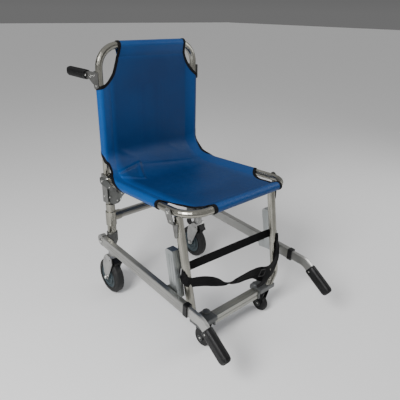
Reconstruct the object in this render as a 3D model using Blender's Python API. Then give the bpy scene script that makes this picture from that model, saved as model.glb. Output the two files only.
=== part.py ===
"""Folding stair chair: an aluminium tube frame with a fabric sling seat, two swivelling rear casters,
two small fixed front wheels, fold-out rear carry handles and telescoping front carry handles.

Frame: metres, +Z up, origin on the floor under the middle of the chair. The chair faces -Y and is
mirrored about X = 0, so every side piece is made once for side = -1 (left) and once for side = +1 (right).
It folds as a four-bar linkage: the seat turns about the rear posts, the lower rails turn about the foot
castings, and the front legs join the seat's front to the rails.
"""

import math

import bmesh
import bpy
from mathutils import Matrix, Vector

GAP = 0.0003          # between solids that touch

# back frame and rear legs
TUBE_R = 0.0117
POST_X = 0.195
POST_Y = 0.235
BACK_TOP_Z = 0.899
BACK_CORNER_R = 0.070
SPLICE_Z = 0.420      # the back tube ends and the rear legs begin here
FOOT_TUBE_R = 0.0162  # the thicker tube from the hinge bracket to the foot casting
FOOT_TUBE = (0.1922, 0.2323)
FOOT_TUBE_Z = (0.2365, 0.3660)
CROSS_TUBE_Z = 0.311
CROSS_TUBE_R = 0.0155
TEE_X = 0.166         # inner end of the cross tube's castings

# seat frame, a U of tube that rises a little towards the front
SEAT_X = 0.2155
SEAT_REAR_Y = 0.186
SEAT_FRONT_Y = -0.235
SEAT_CORNER_R = 0.068
SEAT_Z = 0.4697
SEAT_Z_AT_Y = 0.181
SEAT_SLOPE = 0.0505

# fold pivots, as (y, z)
SEAT_PIVOT = (0.212, 0.466)
RAIL_PIVOT = (0.214, 0.2407)
LEG_PIVOT_Y = -0.160
BRACE_PIVOT_Y = -0.150
BRACE_OUTER_X = 0.2296

# lower rails, rectangular extrusions that drop a little towards the front
RAIL_OUTER_X = 0.2505
RAIL_W = 0.0186
RAIL_H = 0.0381
RAIL_WALL = 0.0018
RAIL_SLOPE = 0.0555
RAIL_LENGTH = 0.4832  # pivot to collar front
PLUG_LENGTH = 0.009   # the plug's round head ahead of the pivot
COLLAR_LENGTH = 0.016
COLLAR_WALL = 0.0018

# front carry handles
BAR_W = 0.0132
BAR_H = 0.0325
BAR_INSIDE = 0.215    # length of bar inside the rail
BAR_STRAIGHT = 0.040  # visible straight stretch ahead of the collar
BAR_BEND_R = 0.050
BAR_BEND = math.radians(32)
FRONT_GRIP_LENGTH = 0.1025

# front legs, foot blocks and front wheels
LEG_R = 0.0135
LEG_TOP = (0.2031, -0.1722, 0.4715)
LEG_KNEE = (0.1943, -0.2307, 0.1480)
LEG_FOOT = (0.1520, -0.2375, 0.1000)
STRAP_Z = 0.290
STRAP_WIDTH = 0.025
STRAP_SAG = 0.045
BLOCK_X = (0.104, 0.178)
BLOCK_Y = (-0.2505, -0.1965)
BLOCK_Z = (0.0968, 0.1135)
BAR_Z = (0.0745, 0.1035)
FRONT_WHEEL = (0.140, -0.2205, 0.032)
FRONT_WHEEL_W = 0.018

# rear casters
KING_X = 0.2085
KING_Y = 0.207
TRAIL = 0.0235
CASTER_R = 0.069
TYRE_W = 0.035
HUB_R = 0.047
CROWN_Z = (0.1645, 0.172)
CASTING_Z = (0.199, 0.2520)
PEDAL_PIVOT = (0.197, 0.155)

# rear carry handles
HANDLE_PIVOT = (0.266, 0.806)
HANDLE_X = 0.2005
REAR_GRIP_Y = (0.304, 0.4358)

LEFT, RIGHT = -1, 1
SIDE_NAME = {LEFT: "left", RIGHT: "right"}

COLOURS = {
    "polished_tube": ((0.62, 0.61, 0.58), 0.28, 1.0),
    "rail_aluminium": ((0.56, 0.56, 0.55), 0.38, 1.0),
    "cast_metal": ((0.30, 0.31, 0.30), 0.50, 0.8),
    "bracket_steel": ((0.36, 0.36, 0.35), 0.42, 0.9),
    "bolt_steel": ((0.55, 0.55, 0.55), 0.25, 1.0),
    "black_rubber": ((0.015, 0.015, 0.016), 0.60, 0.0),
    "black_plastic": ((0.012, 0.012, 0.013), 0.45, 0.0),
    "grey_tyre": ((0.06, 0.062, 0.065), 0.70, 0.0),
    "hub_plastic": ((0.09, 0.11, 0.13), 0.50, 0.0),
    "sling_fabric": ((0.008, 0.10, 0.33), 0.45, 0.0),
    "strap_webbing": ((0.010, 0.010, 0.012), 0.80, 0.0),
}


def material(slot):
    """The Principled material of one slot, made on first use."""
    if slot in bpy.data.materials:
        return bpy.data.materials[slot]
    colour, roughness, metallic = COLOURS[slot]
    made = bpy.data.materials.new(slot)
    made.use_nodes = True
    shader = made.node_tree.nodes["Principled BSDF"]
    shader.inputs["Base Color"].default_value = (*colour, 1.0)
    shader.inputs["Roughness"].default_value = roughness
    shader.inputs["Metallic"].default_value = metallic
    return made


# ---------------------------------------------------------------- helpers

def finish_mesh(name, mesh, slot, smooth=35):
    """Turns a closed bmesh into a named object with outward faces."""
    bmesh.ops.recalc_face_normals(mesh, faces=mesh.faces)
    data = bpy.data.meshes.new(name)
    mesh.to_mesh(data)
    mesh.free()
    data.shade_smooth()
    data.set_sharp_from_angle(angle=math.radians(smooth))
    data.materials.append(material(slot))
    made = bpy.data.objects.new(name, data)
    bpy.context.collection.objects.link(made)
    return made


def loft(name, rings, slot, closed=False, smooth=35):
    """Bridges rings of equal length in order; ends are capped unless the rings close on themselves."""
    mesh = bmesh.new()
    rows = [[mesh.verts.new(p) for p in ring] for ring in rings]
    pairs = list(zip(rows, rows[1:]))
    if closed:
        pairs.append((rows[-1], rows[0]))
    for a, b in pairs:
        for i in range(len(a)):
            j = (i + 1) % len(a)
            mesh.faces.new((a[i], a[j], b[j], b[i]))
    if not closed:
        mesh.faces.new(rows[0][::-1])
        mesh.faces.new(rows[-1])
    return finish_mesh(name, mesh, slot, smooth)


def fillet(points, radius, steps):
    """The points of a polyline whose inner corners are rounded to arcs of the given radius."""
    points = [Vector(p) for p in points]
    out = [points[0]]
    for before, corner, after in zip(points, points[1:], points[2:]):
        u = (before - corner).normalized()
        v = (after - corner).normalized()
        half = u.angle(v) / 2
        tangent = radius / math.tan(half)
        centre = corner + (u + v).normalized() * (radius / math.sin(half))
        start = corner + u * tangent - centre
        end = corner + v * tangent - centre
        sweep = start.angle(end)
        for k in range(steps + 1):
            t = k / steps
            out.append(centre + (start * math.sin((1 - t) * sweep) + end
                                 * math.sin(t * sweep)) / math.sin(sweep))
    out.append(points[-1])
    return out


def sweep_rings(path, profile, side_axis):
    """Rings of a flat profile (a, b) carried along a path; a runs along side_axis made square to the path."""
    rings = []
    for i, p in enumerate(path):
        ahead = path[min(i + 1, len(path) - 1)] - p
        behind = p - path[max(i - 1, 0)]
        tangent = (ahead.normalized() if ahead.length else Vector()) + (behind.normalized()
                                                                        if behind.length else Vector())
        tangent.normalize()
        side = (side_axis - tangent * side_axis.dot(tangent)).normalized()
        up = tangent.cross(side)
        rings.append([p + side * a + up * b for a, b in profile])
    return rings


def circle(radius, count):
    return [(radius * math.cos(math.tau * i / count), radius * math.sin(math.tau * i / count))
            for i in range(count)]


def rounded_rectangle(width, height, radius, steps=3):
    """Outline of a rectangle centred on 0 with rounded corners."""
    out = []
    for quarter, (sx, sy) in enumerate(((1, 1), (-1, 1), (-1, -1), (1, -1))):
        for k in range(steps + 1):
            angle = math.pi / 2 * (quarter + k / steps)
            out.append((sx * (width / 2 - radius) + radius * math.cos(angle),
                        sy * (height / 2 - radius) + radius * math.sin(angle)))
    return out


def tube(name, points, radius, slot, bend=0.03, steps=6, count=16, side_axis=(1, 0, 0)):
    """A round bar along a polyline with rounded corners."""
    path = fillet(points, bend, steps) if len(points) > 2 else [Vector(p) for p in points]
    return loft(name, sweep_rings(path, circle(radius, count), Vector(side_axis)), slot)


def prism_x(name, outline, x_range, slot, bevel=0.0):
    """A plate: a (y, z) outline extruded along X."""
    rings = [[Vector((x, y, z)) for y, z in outline] for x in x_range]
    made = loft(name, rings, slot, smooth=30)
    if bevel:
        round_edges(made, bevel)
    return made


def box(name, x_range, y_range, z_range, slot, bevel=0.0):
    (y0, y1), (z0, z1) = y_range, z_range
    return prism_x(name, [(y0, z0), (y1, z0), (y1, z1), (y0, z1)], x_range, slot, bevel)


def round_edges(made, width, segments=2):
    modifier = made.modifiers.new("rounding", "BEVEL")
    modifier.width = width
    modifier.segments = segments
    modifier.limit_method = "ANGLE"
    modifier.angle_limit = math.radians(40)


def lathe(name, profile, centre, slot, count=32):
    """A ring turned about the X axis from a closed (radius, x) profile."""
    rings = []
    for i in range(count):
        angle = math.tau * i / count
        rings.append([Vector(centre) + Vector((x, r * math.cos(angle), r * math.sin(angle))) for r,
                      x in profile])
    return loft(name, rings, slot, closed=True)


def pin_x(name, stations, y, z, slot, count=16):
    """A turned pin along X from (x, radius) stations."""
    rings = [[Vector((x, y + a, z + b)) for a, b in circle(r, count)] for x, r in stations]
    return loft(name, rings, slot)


def pin_z(name, stations, x, y, slot, count=20):
    """A turned pin along Z from (z, radius) stations."""
    rings = [[Vector((x + a, y + b, z)) for a, b in circle(r, count)] for z, r in stations]
    return loft(name, rings, slot)


def boolean(made, other, operation):
    """Cuts or joins with another solid, which stays in the file as a hidden guide."""
    modifier = made.modifiers.new(operation.lower(), "BOOLEAN")
    modifier.operation = operation
    modifier.object = other
    other.hide_render = True
    other.display_type = "WIRE"
    return made


def arc(centre, radius, start, end, steps):
    """Points (y, z) of an arc; angles in degrees from +Y towards +Z."""
    out = []
    for k in range(steps + 1):
        angle = math.radians(start + (end - start) * k / steps)
        out.append((centre[0] + radius * math.cos(angle), centre[1] + radius * math.sin(angle)))
    return out


def seat_z(y):
    """Height of the seat tube's centre line at y."""
    return SEAT_Z + (SEAT_Z_AT_Y - y) * SEAT_SLOPE


def rail_z(y):
    """Height of the rail's centre line at y."""
    return RAIL_PIVOT[1] + (y - RAIL_PIVOT[0]) * RAIL_SLOPE


def xs(side, low, high):
    """An X range on one side, given as distances from the middle plane."""
    return tuple(sorted((side * low, side * high)))


# ---------------------------------------------------------------- back frame (the fixed body)

def back_frame():
    z_top, x = BACK_TOP_Z, POST_X
    tube("back_tube", [(-x, POST_Y, SPLICE_Z), (-x, POST_Y, z_top), (x, POST_Y, z_top),
                       (x, POST_Y, SPLICE_Z)],
         TUBE_R, "polished_tube", bend=BACK_CORNER_R, steps=9, side_axis=(0, 1, 0))
    tube("rear_cross_tube", [(-TEE_X, POST_Y, CROSS_TUBE_Z), (TEE_X, POST_Y, CROSS_TUBE_Z)],
         CROSS_TUBE_R, "polished_tube", side_axis=(0, 1, 0))


def rear_leg(side):
    """Thin tube spliced to the back tube, set in the thicker tube that stands in the foot casting."""
    name = f"rear_leg_{SIDE_NAME[side]}"
    low, high = FOOT_TUBE_Z
    foot = pin_z(name, [(low + GAP, FOOT_TUBE_R), (high - 0.002, FOOT_TUBE_R), (high, FOOT_TUBE_R - 0.002)],
                 side * FOOT_TUBE[0], FOOT_TUBE[1], "polished_tube", count=24)
    splice = pin_z(f"guide_splice_{name}", [(high - 0.010, TUBE_R), (SPLICE_Z - GAP, TUBE_R)], side
                   * POST_X, POST_Y,
                   "polished_tube", count=16)
    boolean(foot, splice, "UNION")


def cross_tube_tee(side):
    """Casting that grips the rear leg and holds the cross tube's end in a blind socket."""
    name = f"cross_tube_tee_{SIDE_NAME[side]}"
    x, y = side * FOOT_TUBE[0], FOOT_TUBE[1]
    body = pin_z(name, [(CROSS_TUBE_Z - 0.029, 0.0192), (CROSS_TUBE_Z + 0.024, 0.0192)], x, y, "cast_metal")
    boss = pin_x(f"guide_tee_boss_{name}", [(x, 0.0185), (side * (TEE_X - 0.012), 0.0185)], POST_Y,
                 CROSS_TUBE_Z,
                 "cast_metal", count=20)
    boolean(body, boss, "UNION")
    bore = pin_z(f"guide_tee_bore_{name}", [(CROSS_TUBE_Z - 0.04, FOOT_TUBE_R + GAP),
                                            (CROSS_TUBE_Z + 0.04, FOOT_TUBE_R + GAP)],
                 x, y, "cast_metal", count=24)
    boolean(body, bore, "DIFFERENCE")
    socket = pin_x(f"guide_tee_socket_{name}",
                   [(side * (TEE_X + GAP), CROSS_TUBE_R + GAP), (side * (TEE_X - 0.03), CROSS_TUBE_R + GAP)],
                   POST_Y, CROSS_TUBE_Z, "cast_metal")
    boolean(body, socket, "DIFFERENCE")


def hinge_bracket(side):
    """Channel folded round the post and the rear leg: it splices them and holds the seat's pivot pin."""
    name = f"hinge_bracket_{SIDE_NAME[side]}"
    y_pivot, z_pivot = SEAT_PIVOT
    z_low, z_high = 0.372, z_pivot + 0.012
    y_web, y_rear = POST_Y + TUBE_R + 0.0005, POST_Y + TUBE_R + 0.003
    x_inner, x_outer = 0.1803, 0.2095
    plate = 0.0025
    outline = [(y_rear, z_low), (y_rear, z_high), (y_pivot, z_high), *arc(SEAT_PIVOT, 0.012, 90, 180, 4),
               (y_pivot - 0.012, z_pivot - 0.012), (y_pivot + 0.003, z_pivot - 0.03), (y_pivot + 0.003,
                                                                                       z_low)]
    body = prism_x(name, outline, xs(side, x_inner, x_outer), "bracket_steel")
    inside = box(f"guide_channel_{name}", xs(side, x_inner + plate, x_outer - plate), (0.1, y_web),
                 (z_low - 0.02, z_high + 0.02), "bracket_steel")
    boolean(body, inside, "DIFFERENCE")
    tongue_y, tongue_z = latch_place()
    tongue = prism_x(f"guide_tongue_{name}",
                     [(y_pivot + 0.006, z_pivot + 0.004), (y_pivot + 0.006, z_pivot - 0.025),
                      *arc((tongue_y, tongue_z), 0.009, 250, 100, 5)],
                     xs(side, x_inner, x_inner + plate), "bracket_steel")
    boolean(body, tongue, "UNION")
    pivot = pin_x(f"guide_pivot_{name}", [(side * 0.16, 0.0043), (side * 0.22, 0.0043)], y_pivot, z_pivot,
                  "bracket_steel")
    boolean(body, pivot, "DIFFERENCE")
    hole = pin_x(f"guide_latch_{name}", [(side * 0.17, 0.0038), (side * 0.19, 0.0038)], tongue_y, tongue_z,
                 "bracket_steel")
    boolean(body, hole, "DIFFERENCE")


def seat_hinge_pin(side):
    return pin_x(f"seat_hinge_pin_{SIDE_NAME[side]}",
                 [(side * 0.1775, 0.0065), (side * 0.1800, 0.0065), (side * 0.1800, 0.0040),
                  (side * 0.2098, 0.0040), (side * 0.2098, 0.0075), (side * 0.2120, 0.0060)],
                 *SEAT_PIVOT, "bolt_steel")


def foot_casting(side):
    """Casting at the rear leg's foot: leg socket above, caster socket below, rail pivot bolt outside."""
    name = f"foot_casting_{SIDE_NAME[side]}"
    z_low, z_high = CASTING_Z
    x, y = side * FOOT_TUBE[0], FOOT_TUBE[1]
    outline = [(0.1965, z_low), (0.2400, z_low), (0.2460, z_low + 0.006), (0.2460, 0.2360),
               *arc(RAIL_PIVOT, 0.0115, 20, 160, 8), (0.1965, 0.2320)]
    body = prism_x(name, outline, xs(side, 0.1965, 0.2315), "cast_metal", bevel=0.0015)
    socket = pin_z(f"guide_socket_{name}", [(z_low + 0.004, 0.0150), (z_low + 0.016, 0.0200),
                                            (z_high - 0.002, 0.0200),
                                            (z_high, 0.0185)], x, y, "cast_metal", count=28)
    boolean(body, socket, "UNION")
    leg = pin_z(f"guide_leg_{name}", [(FOOT_TUBE_Z[0], FOOT_TUBE_R + GAP),
                                      (z_high + 0.01, FOOT_TUBE_R + GAP)],
                x, y, "cast_metal", count=24)
    boolean(body, leg, "DIFFERENCE")
    king = pin_z(f"guide_king_{name}", [(z_low - 0.01, 0.0063), (z_low + 0.026, 0.0063)],
                 side * KING_X, KING_Y, "cast_metal", count=16)
    boolean(body, king, "DIFFERENCE")
    bolt = pin_x(f"guide_bolt_{name}", [(side * 0.2122, 0.0043), (side * 0.24, 0.0043)], *RAIL_PIVOT,
                 "cast_metal")
    boolean(body, bolt, "DIFFERENCE")


def rail_pivot_bolt(side):
    outer = RAIL_OUTER_X + GAP
    return pin_x(f"rail_pivot_bolt_{SIDE_NAME[side]}",
                 [(side * 0.2125, 0.0040), (side * outer, 0.0040), (side * outer, 0.0085),
                  (side * (outer + 0.0020), 0.0085), (side * (outer + 0.0040), 0.0050)],
                 *RAIL_PIVOT, "bolt_steel")


def rear_handle_bracket(side):
    """Bent plate on the post: its two ears hold the rear carry handle's pivot."""
    name = f"rear_handle_bracket_{SIDE_NAME[side]}"
    y_pivot, z_pivot = HANDLE_PIVOT
    outline = [(0.2225, 0.774), (0.2370, 0.767), (0.2465, 0.770), (0.2490, 0.781), (0.2600, 0.786),
               *arc(HANDLE_PIVOT, 0.0150, -50, 90, 6), (0.2225, z_pivot + 0.0150)]
    body = prism_x(name, outline, xs(side, 0.1915, 0.2095), "bracket_steel")
    slot_y = (POST_Y + TUBE_R + 0.003, 0.30)
    inside = box(f"guide_slot_{name}", xs(side, 0.1940, 0.2070), slot_y, (0.74, 0.84), "bracket_steel")
    boolean(body, inside, "DIFFERENCE")
    front = box(f"guide_post_{name}", xs(side, 0.17, 0.2070), (0.20, POST_Y + TUBE_R + 0.0005), (0.74, 0.84),
                "bracket_steel")
    boolean(body, front, "DIFFERENCE")
    bore = pin_x(f"guide_pivot_{name}", [(side * 0.18, 0.0038), (side * 0.22, 0.0038)], y_pivot, z_pivot,
                 "bracket_steel")
    boolean(body, bore, "DIFFERENCE")


def back_sling():
    """Plain panel of fabric between the posts, its upper corners cut back round the hand holes."""
    half, y0, y1 = POST_X - TUBE_R - 0.0008, 0.2225, 0.2255
    top, low = BACK_TOP_Z - TUBE_R - 0.0008, 0.500
    outline = [(-half, low), (half, low), (half, 0.770), (0.150, 0.795), (0.122, top), (-0.122, top),
               (-0.150, 0.795), (-half, 0.770)]
    rings = [[Vector((x, y, z)) for x, z in outline] for y in (y0, y1)]
    return loft("back_sling", rings, "sling_fabric", smooth=30)


# ---------------------------------------------------------------- rear carry handles

def rear_handle(side):
    """Flat bar on the bracket's pivot, with a stud through both ears, and a black grip on its end."""
    name = SIDE_NAME[side]
    y_pivot, z_pivot = HANDLE_PIVOT
    grip_start, grip_end = REAR_GRIP_Y
    half = 0.011
    outline = [*arc(HANDLE_PIVOT, 0.0125, 60, 300, 10), (y_pivot + 0.016, z_pivot - half),
               (grip_start + 0.026, z_pivot - half), (grip_start + 0.026, z_pivot + half), (y_pivot + 0.016,
                                                                                            z_pivot + half)]
    bar = prism_x(f"rear_handle_bar_{name}", outline, xs(side, 0.1945, 0.2065), "bracket_steel")
    stud = pin_x(f"guide_stud_{name}", [(side * 0.1905, 0.0035), (side * 0.2112, 0.0035)], y_pivot, z_pivot,
                 "bolt_steel")
    boolean(bar, stud, "UNION")
    axis = Vector((0, 1, 0))
    rings = []
    for y, width, height in ((grip_start, 0.024, 0.029), (grip_start + 0.004, 0.026, 0.031),
                             (grip_end - 0.012, 0.026, 0.031), (grip_end - 0.004, 0.023, 0.028), (grip_end,
                                                                                                  0.016,
                                                                                                  0.021)):
        rings.append(grip_ring(Vector((side * HANDLE_X, y, z_pivot)), axis, width, height))
    socket = [grip_ring(Vector((side * HANDLE_X, y, z_pivot)), axis, 0.0126, 0.0226, 0.0002)
              for y in (grip_start + 0.0265, grip_start)]
    loft(f"rear_grip_{name}", socket + rings, "black_rubber")


def grip_ring(centre, axis, width, height, radius=None):
    """One section of a grip square to its axis, width along X; oval unless a corner radius is given."""
    side = Vector((1, 0, 0))
    up = axis.cross(side)
    radius = radius or min(width, height) * 0.42
    return [centre + side * a + up * b for a, b in rounded_rectangle(width, height, radius)]


# ---------------------------------------------------------------- seat frame

def seat_frame():
    x, y0, y1 = SEAT_X, SEAT_FRONT_Y, SEAT_REAR_Y
    points = [(-x, y1, seat_z(y1)), (-x, y0, seat_z(y0)), (x, y0, seat_z(y0)), (x, y1, seat_z(y1))]
    made = tube("seat_tube", points, TUBE_R, "polished_tube", bend=SEAT_CORNER_R, steps=9,
                side_axis=(0, 0, 1))
    for side in (LEFT, RIGHT):
        bore = pin_x(f"guide_leg_pivot_{SIDE_NAME[side]}", [(side * 0.2140, 0.0043), (side * 0.24, 0.0043)],
                     LEG_PIVOT_Y, seat_z(LEG_PIVOT_Y), "polished_tube")
        boolean(made, bore, "DIFFERENCE")


LATCH_R = 0.062       # latch pin's distance from the seat pivot
LATCH_ANGLE = 194     # its direction from the seat pivot at rest, degrees from +Y towards +Z
FOLD_ANGLE = 82       # how far the seat turns


def latch_place():
    return arc(SEAT_PIVOT, LATCH_R, LATCH_ANGLE, LATCH_ANGLE, 1)[0]


def seat_arm(side):
    """Sector plate on the seat tube's inner face, on the pivot pin; its arc slot clears the latch pin."""
    name = f"seat_arm_{SIDE_NAME[side]}"
    y_pivot, z_pivot = SEAT_PIVOT
    tip = 0.093
    outline = [(y_pivot + 0.0105, z_pivot - 0.086), (y_pivot + 0.0105, z_pivot),
               *arc(SEAT_PIVOT, 0.0105, 20, 90, 3),
               (tip, seat_z(tip) + 0.004), (tip, seat_z(tip) - 0.0105),
               *arc(SEAT_PIVOT, 0.089, 205, 276, 9)]
    body = prism_x(name, outline, xs(side, 0.2005, 0.2035), "bracket_steel")
    pivot = pin_x(f"guide_pivot_{name}", [(side * 0.19, 0.0043), (side * 0.21, 0.0043)], y_pivot, z_pivot,
                  "bracket_steel")
    boolean(body, pivot, "DIFFERENCE")
    spare = 6
    low, high = LATCH_ANGLE - spare, LATCH_ANGLE + FOLD_ANGLE + spare
    slot_outline = arc(SEAT_PIVOT, LATCH_R + 0.0041, low, high, 12) + arc(SEAT_PIVOT, LATCH_R - 0.0041,
                                                                          high, low, 12)
    slot = prism_x(f"guide_slot_{name}", slot_outline, xs(side, 0.19, 0.21), "bracket_steel")
    boolean(body, slot, "DIFFERENCE")


def seat_latch(side):
    """Spring plunger that the hand pulls inwards to free the seat."""
    return pin_x(f"seat_latch_{SIDE_NAME[side]}",
                 [(side * 0.1560, 0.0075), (side * 0.1575, 0.0090), (side * 0.1650, 0.0090),
                  (side * 0.1665, 0.0050),
                  (side * 0.1798, 0.0050), (side * 0.1798, 0.0034), (side * 0.2030, 0.0034)],
                 *latch_place(), "bolt_steel")


def seat_sling():
    """Plain panel of fabric in the plane of the seat tube, its front corners cut away."""
    half, front, rear = 0.1990, SEAT_FRONT_Y + TUBE_R + 0.0008, 0.150
    outline = [(-half, rear), (half, rear), (half, -0.085), (0.165, -0.150), (0.120, front), (-0.120, front),
               (-0.165, -0.150), (-half, -0.085)]
    rings = [[Vector((x, y, seat_z(y) + lift)) for x, y in outline] for lift in (-0.001, 0.002)]
    return loft("seat_sling", rings, "sling_fabric", smooth=30)


# ---------------------------------------------------------------- lower rails

def rail_frame():
    """The empty on the rail pivot axis that tilts everything on the rails; local -Y runs to the front."""
    made = bpy.data.objects.new("rail_axis", None)
    bpy.context.collection.objects.link(made)
    made.location = (0, *RAIL_PIVOT)
    made.rotation_euler = (math.atan(RAIL_SLOPE), 0, 0)
    return made


def on_rail(made, frame):
    made.parent = frame
    return made


def section_rings(x, stations, width, height, radius=0.0025):
    """Rounded rectangular rings at local y stations, for lofts along a rail."""
    return [[Vector((x + a, y, b)) for a, b in rounded_rectangle(width, height, radius, 2)] for y in stations]


def rail(side, frame):
    x = side * (RAIL_OUTER_X - RAIL_W / 2)
    ends = (-PLUG_LENGTH - GAP, -RAIL_LENGTH + 0.004)
    outer = section_rings(x, ends, RAIL_W, RAIL_H)
    inner = section_rings(x, ends[::-1], RAIL_W - 2 * RAIL_WALL, RAIL_H - 2 * RAIL_WALL, 0.0005)
    made = loft(f"rail_{SIDE_NAME[side]}", outer + inner, "rail_aluminium", closed=True)
    return on_rail(made, frame)


def rail_plug(side, frame):
    """Rounded end plug: its tongue fills the rail's end and the pivot bolt runs through its round head."""
    name = f"rail_plug_{SIDE_NAME[side]}"
    low, high = RAIL_OUTER_X - RAIL_W, RAIL_OUTER_X
    head = prism_x(name, [(-PLUG_LENGTH, -RAIL_H / 2), *arc((-0.001, 0.0018), 0.0212, -84, 84, 12),
                          (-PLUG_LENGTH, RAIL_H / 2 + 0.0030)], xs(side, low, high), "cast_metal")
    clear = RAIL_WALL + GAP
    tongue = box(f"guide_tongue_{name}", xs(side, low + clear, high - clear), (-0.036, 0.0),
                 (-RAIL_H / 2 + clear, RAIL_H / 2 - clear), "cast_metal")
    boolean(head, tongue, "UNION")
    bore = pin_x(f"guide_bore_{name}", [(side * (low - 0.01), 0.0043), (side * (high + 0.01), 0.0043)], 0,
                 0, "cast_metal")
    boolean(head, bore, "DIFFERENCE")
    for guide in (tongue, bore):
        guide.parent = frame
    return on_rail(head, frame)


def rail_collar(side, frame):
    """Black sleeve over the rail's front end, with a lip that guides the sliding bar."""
    x = side * (RAIL_OUTER_X - RAIL_W / 2)
    rear, front, lip = -RAIL_LENGTH + COLLAR_LENGTH, -RAIL_LENGTH, -RAIL_LENGTH + 0.0037
    wide = section_rings(x, (rear, front), RAIL_W + 2 * COLLAR_WALL, RAIL_H + 2 * COLLAR_WALL, 0.0035)
    mouth = section_rings(x, (front, lip), BAR_W + 2 * GAP, BAR_H + 2 * GAP, 0.0028)
    sleeve = section_rings(x, (lip, rear), RAIL_W + 2 * GAP, RAIL_H + 2 * GAP, 0.0026)
    made = loft(f"rail_collar_{SIDE_NAME[side]}", wide + mouth + sleeve, "black_plastic", closed=True)
    return on_rail(made, frame)


def front_handle(side, frame):
    """Rectangular bar that slides in the rail and bends down into a black grip."""
    name = SIDE_NAME[side]
    x = side * (RAIL_OUTER_X - RAIL_W / 2)
    bend_y = -RAIL_LENGTH - BAR_STRAIGHT
    drop = Vector((0, -math.cos(BAR_BEND), -math.sin(BAR_BEND)))
    corner = Vector((x, bend_y - BAR_BEND_R * math.tan(BAR_BEND / 2), 0))
    grip_start = corner + drop * 0.026
    bar_end = grip_start + drop * 0.030
    path = fillet([(x, -RAIL_LENGTH + BAR_INSIDE, 0), corner, bar_end], BAR_BEND_R, 5)
    rings = sweep_rings(path, rounded_rectangle(BAR_W, BAR_H, 0.0025, 2), Vector((1, 0, 0)))
    on_rail(loft(f"front_handle_bar_{name}", rings, "rail_aluminium"), frame)
    sections = ((0, 0.025, 0.037), (0.004, 0.028, 0.040), (FRONT_GRIP_LENGTH - 0.012, 0.028, 0.040),
                (FRONT_GRIP_LENGTH - 0.004, 0.025, 0.036), (FRONT_GRIP_LENGTH, 0.017, 0.028))
    outside = [grip_ring(grip_start + drop * d, drop, w, h) for d, w, h in sections]
    socket = [grip_ring(grip_start + drop * d, drop, BAR_W + 2 * GAP, BAR_H + 2 * GAP, 0.0024)
              for d in (0.0308, 0)]
    on_rail(loft(f"front_grip_{name}", socket + outside, "black_rubber"), frame)


# ---------------------------------------------------------------- front legs

def mirrored(point, side):
    return (side * point[0], point[1], point[2])


def leg_axis(z):
    """(x, y) of the middle of the straight upper leg at height z."""
    t = (LEG_TOP[2] - z) / (LEG_TOP[2] - LEG_KNEE[2])
    return tuple(top + t * (knee - top) for top, knee in zip(LEG_TOP[:2], LEG_KNEE[:2]))


def front_leg(side):
    """Bent tube cut flat on its foot block, its heel relieved to swing under the seat tube."""
    name = f"front_leg_{SIDE_NAME[side]}"
    made = tube(name, [mirrored(p, side) for p in (LEG_TOP, LEG_KNEE, LEG_FOOT)], LEG_R, "polished_tube",
                bend=0.040, steps=5, side_axis=(0, 1, 0))
    floor = box(f"guide_floor_{name}", xs(side, 0.10, 0.22), (-0.30, -0.18), (0.05, BLOCK_Z[1] + GAP),
                "polished_tube")
    boolean(made, floor, "DIFFERENCE")
    heel = box(f"guide_heel_{name}", xs(side, 0.18, 0.23), (-0.1670, -0.14), (0.4640, 0.49), "polished_tube")
    boolean(made, heel, "DIFFERENCE")


def leg_plate(side):
    """Cranked plate: the ear outside the seat tube holds the pivot stud, the lower half lies on the leg."""
    name = f"leg_plate_{SIDE_NAME[side]}"
    pivot = (LEG_PIVOT_Y, seat_z(LEG_PIVOT_Y))
    ear = [*arc(pivot, 0.0135, -20, 160, 10), (-0.1880, 0.4530), (-0.1620, 0.4530)]
    plate = prism_x(name, ear, xs(side, 0.2288, 0.2310), "bracket_steel")
    step = box(f"guide_step_{name}", xs(side, 0.2172, 0.2300), (-0.1880, -0.1620), (0.4530, 0.4555),
               "bracket_steel")
    boolean(plate, step, "UNION")
    (x_leg, y_top), (_, y_tip) = leg_axis(0.455), leg_axis(0.415)
    cheek = [(y_top - 0.0125, 0.4550), (y_tip - 0.0060, 0.4150),
             *arc((y_tip + 0.0020, 0.4120), 0.0060, 200, 330, 4),
             (y_top + 0.0125, 0.4550)]
    lower = prism_x(f"guide_cheek_{name}", cheek, xs(side, x_leg + LEG_R + 0.0006, x_leg + LEG_R + 0.0028),
                    "bracket_steel")
    boolean(plate, lower, "UNION")
    stud = pin_x(f"guide_stud_{name}", [(side * 0.2148, 0.0040), (side * 0.2300, 0.0040)], *pivot,
                 "bracket_steel")
    boolean(plate, stud, "UNION")


def leg_brace(side):
    """Extrusion behind the leg; its rear ear meets the rail at the open pivot of the linkage."""
    pivot = (BRACE_PIVOT_Y, rail_z(BRACE_PIVOT_Y))
    z_low, z_high, depth = 0.2150, 0.3650, 0.0345

    def front(z):
        return leg_axis(z)[1] + LEG_R + 0.0008

    outline = [(front(z_low), z_low), (front(z_low) + 0.024, z_low), *arc(pivot, 0.0110, -60, 50, 5),
               (front(0.245) + depth, 0.2450), (front(z_high) + depth, z_high - 0.009),
               (front(z_high) + depth - 0.004, z_high - 0.002), (front(z_high) + depth - 0.010, z_high),
               (front(z_high), z_high)]
    name = f"leg_brace_{SIDE_NAME[side]}"
    brace = prism_x(name, outline, xs(side, 0.2045, BRACE_OUTER_X), "rail_aluminium")
    y_strap = front(STRAP_Z)
    notch = box(f"guide_notch_{name}", xs(side, 0.2000, 0.2150), (y_strap - 0.006, y_strap + 0.005),
                (STRAP_Z - STRAP_WIDTH / 2 - 0.002, STRAP_Z + STRAP_WIDTH / 2 + 0.002), "rail_aluminium")
    boolean(brace, notch, "DIFFERENCE")


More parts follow.
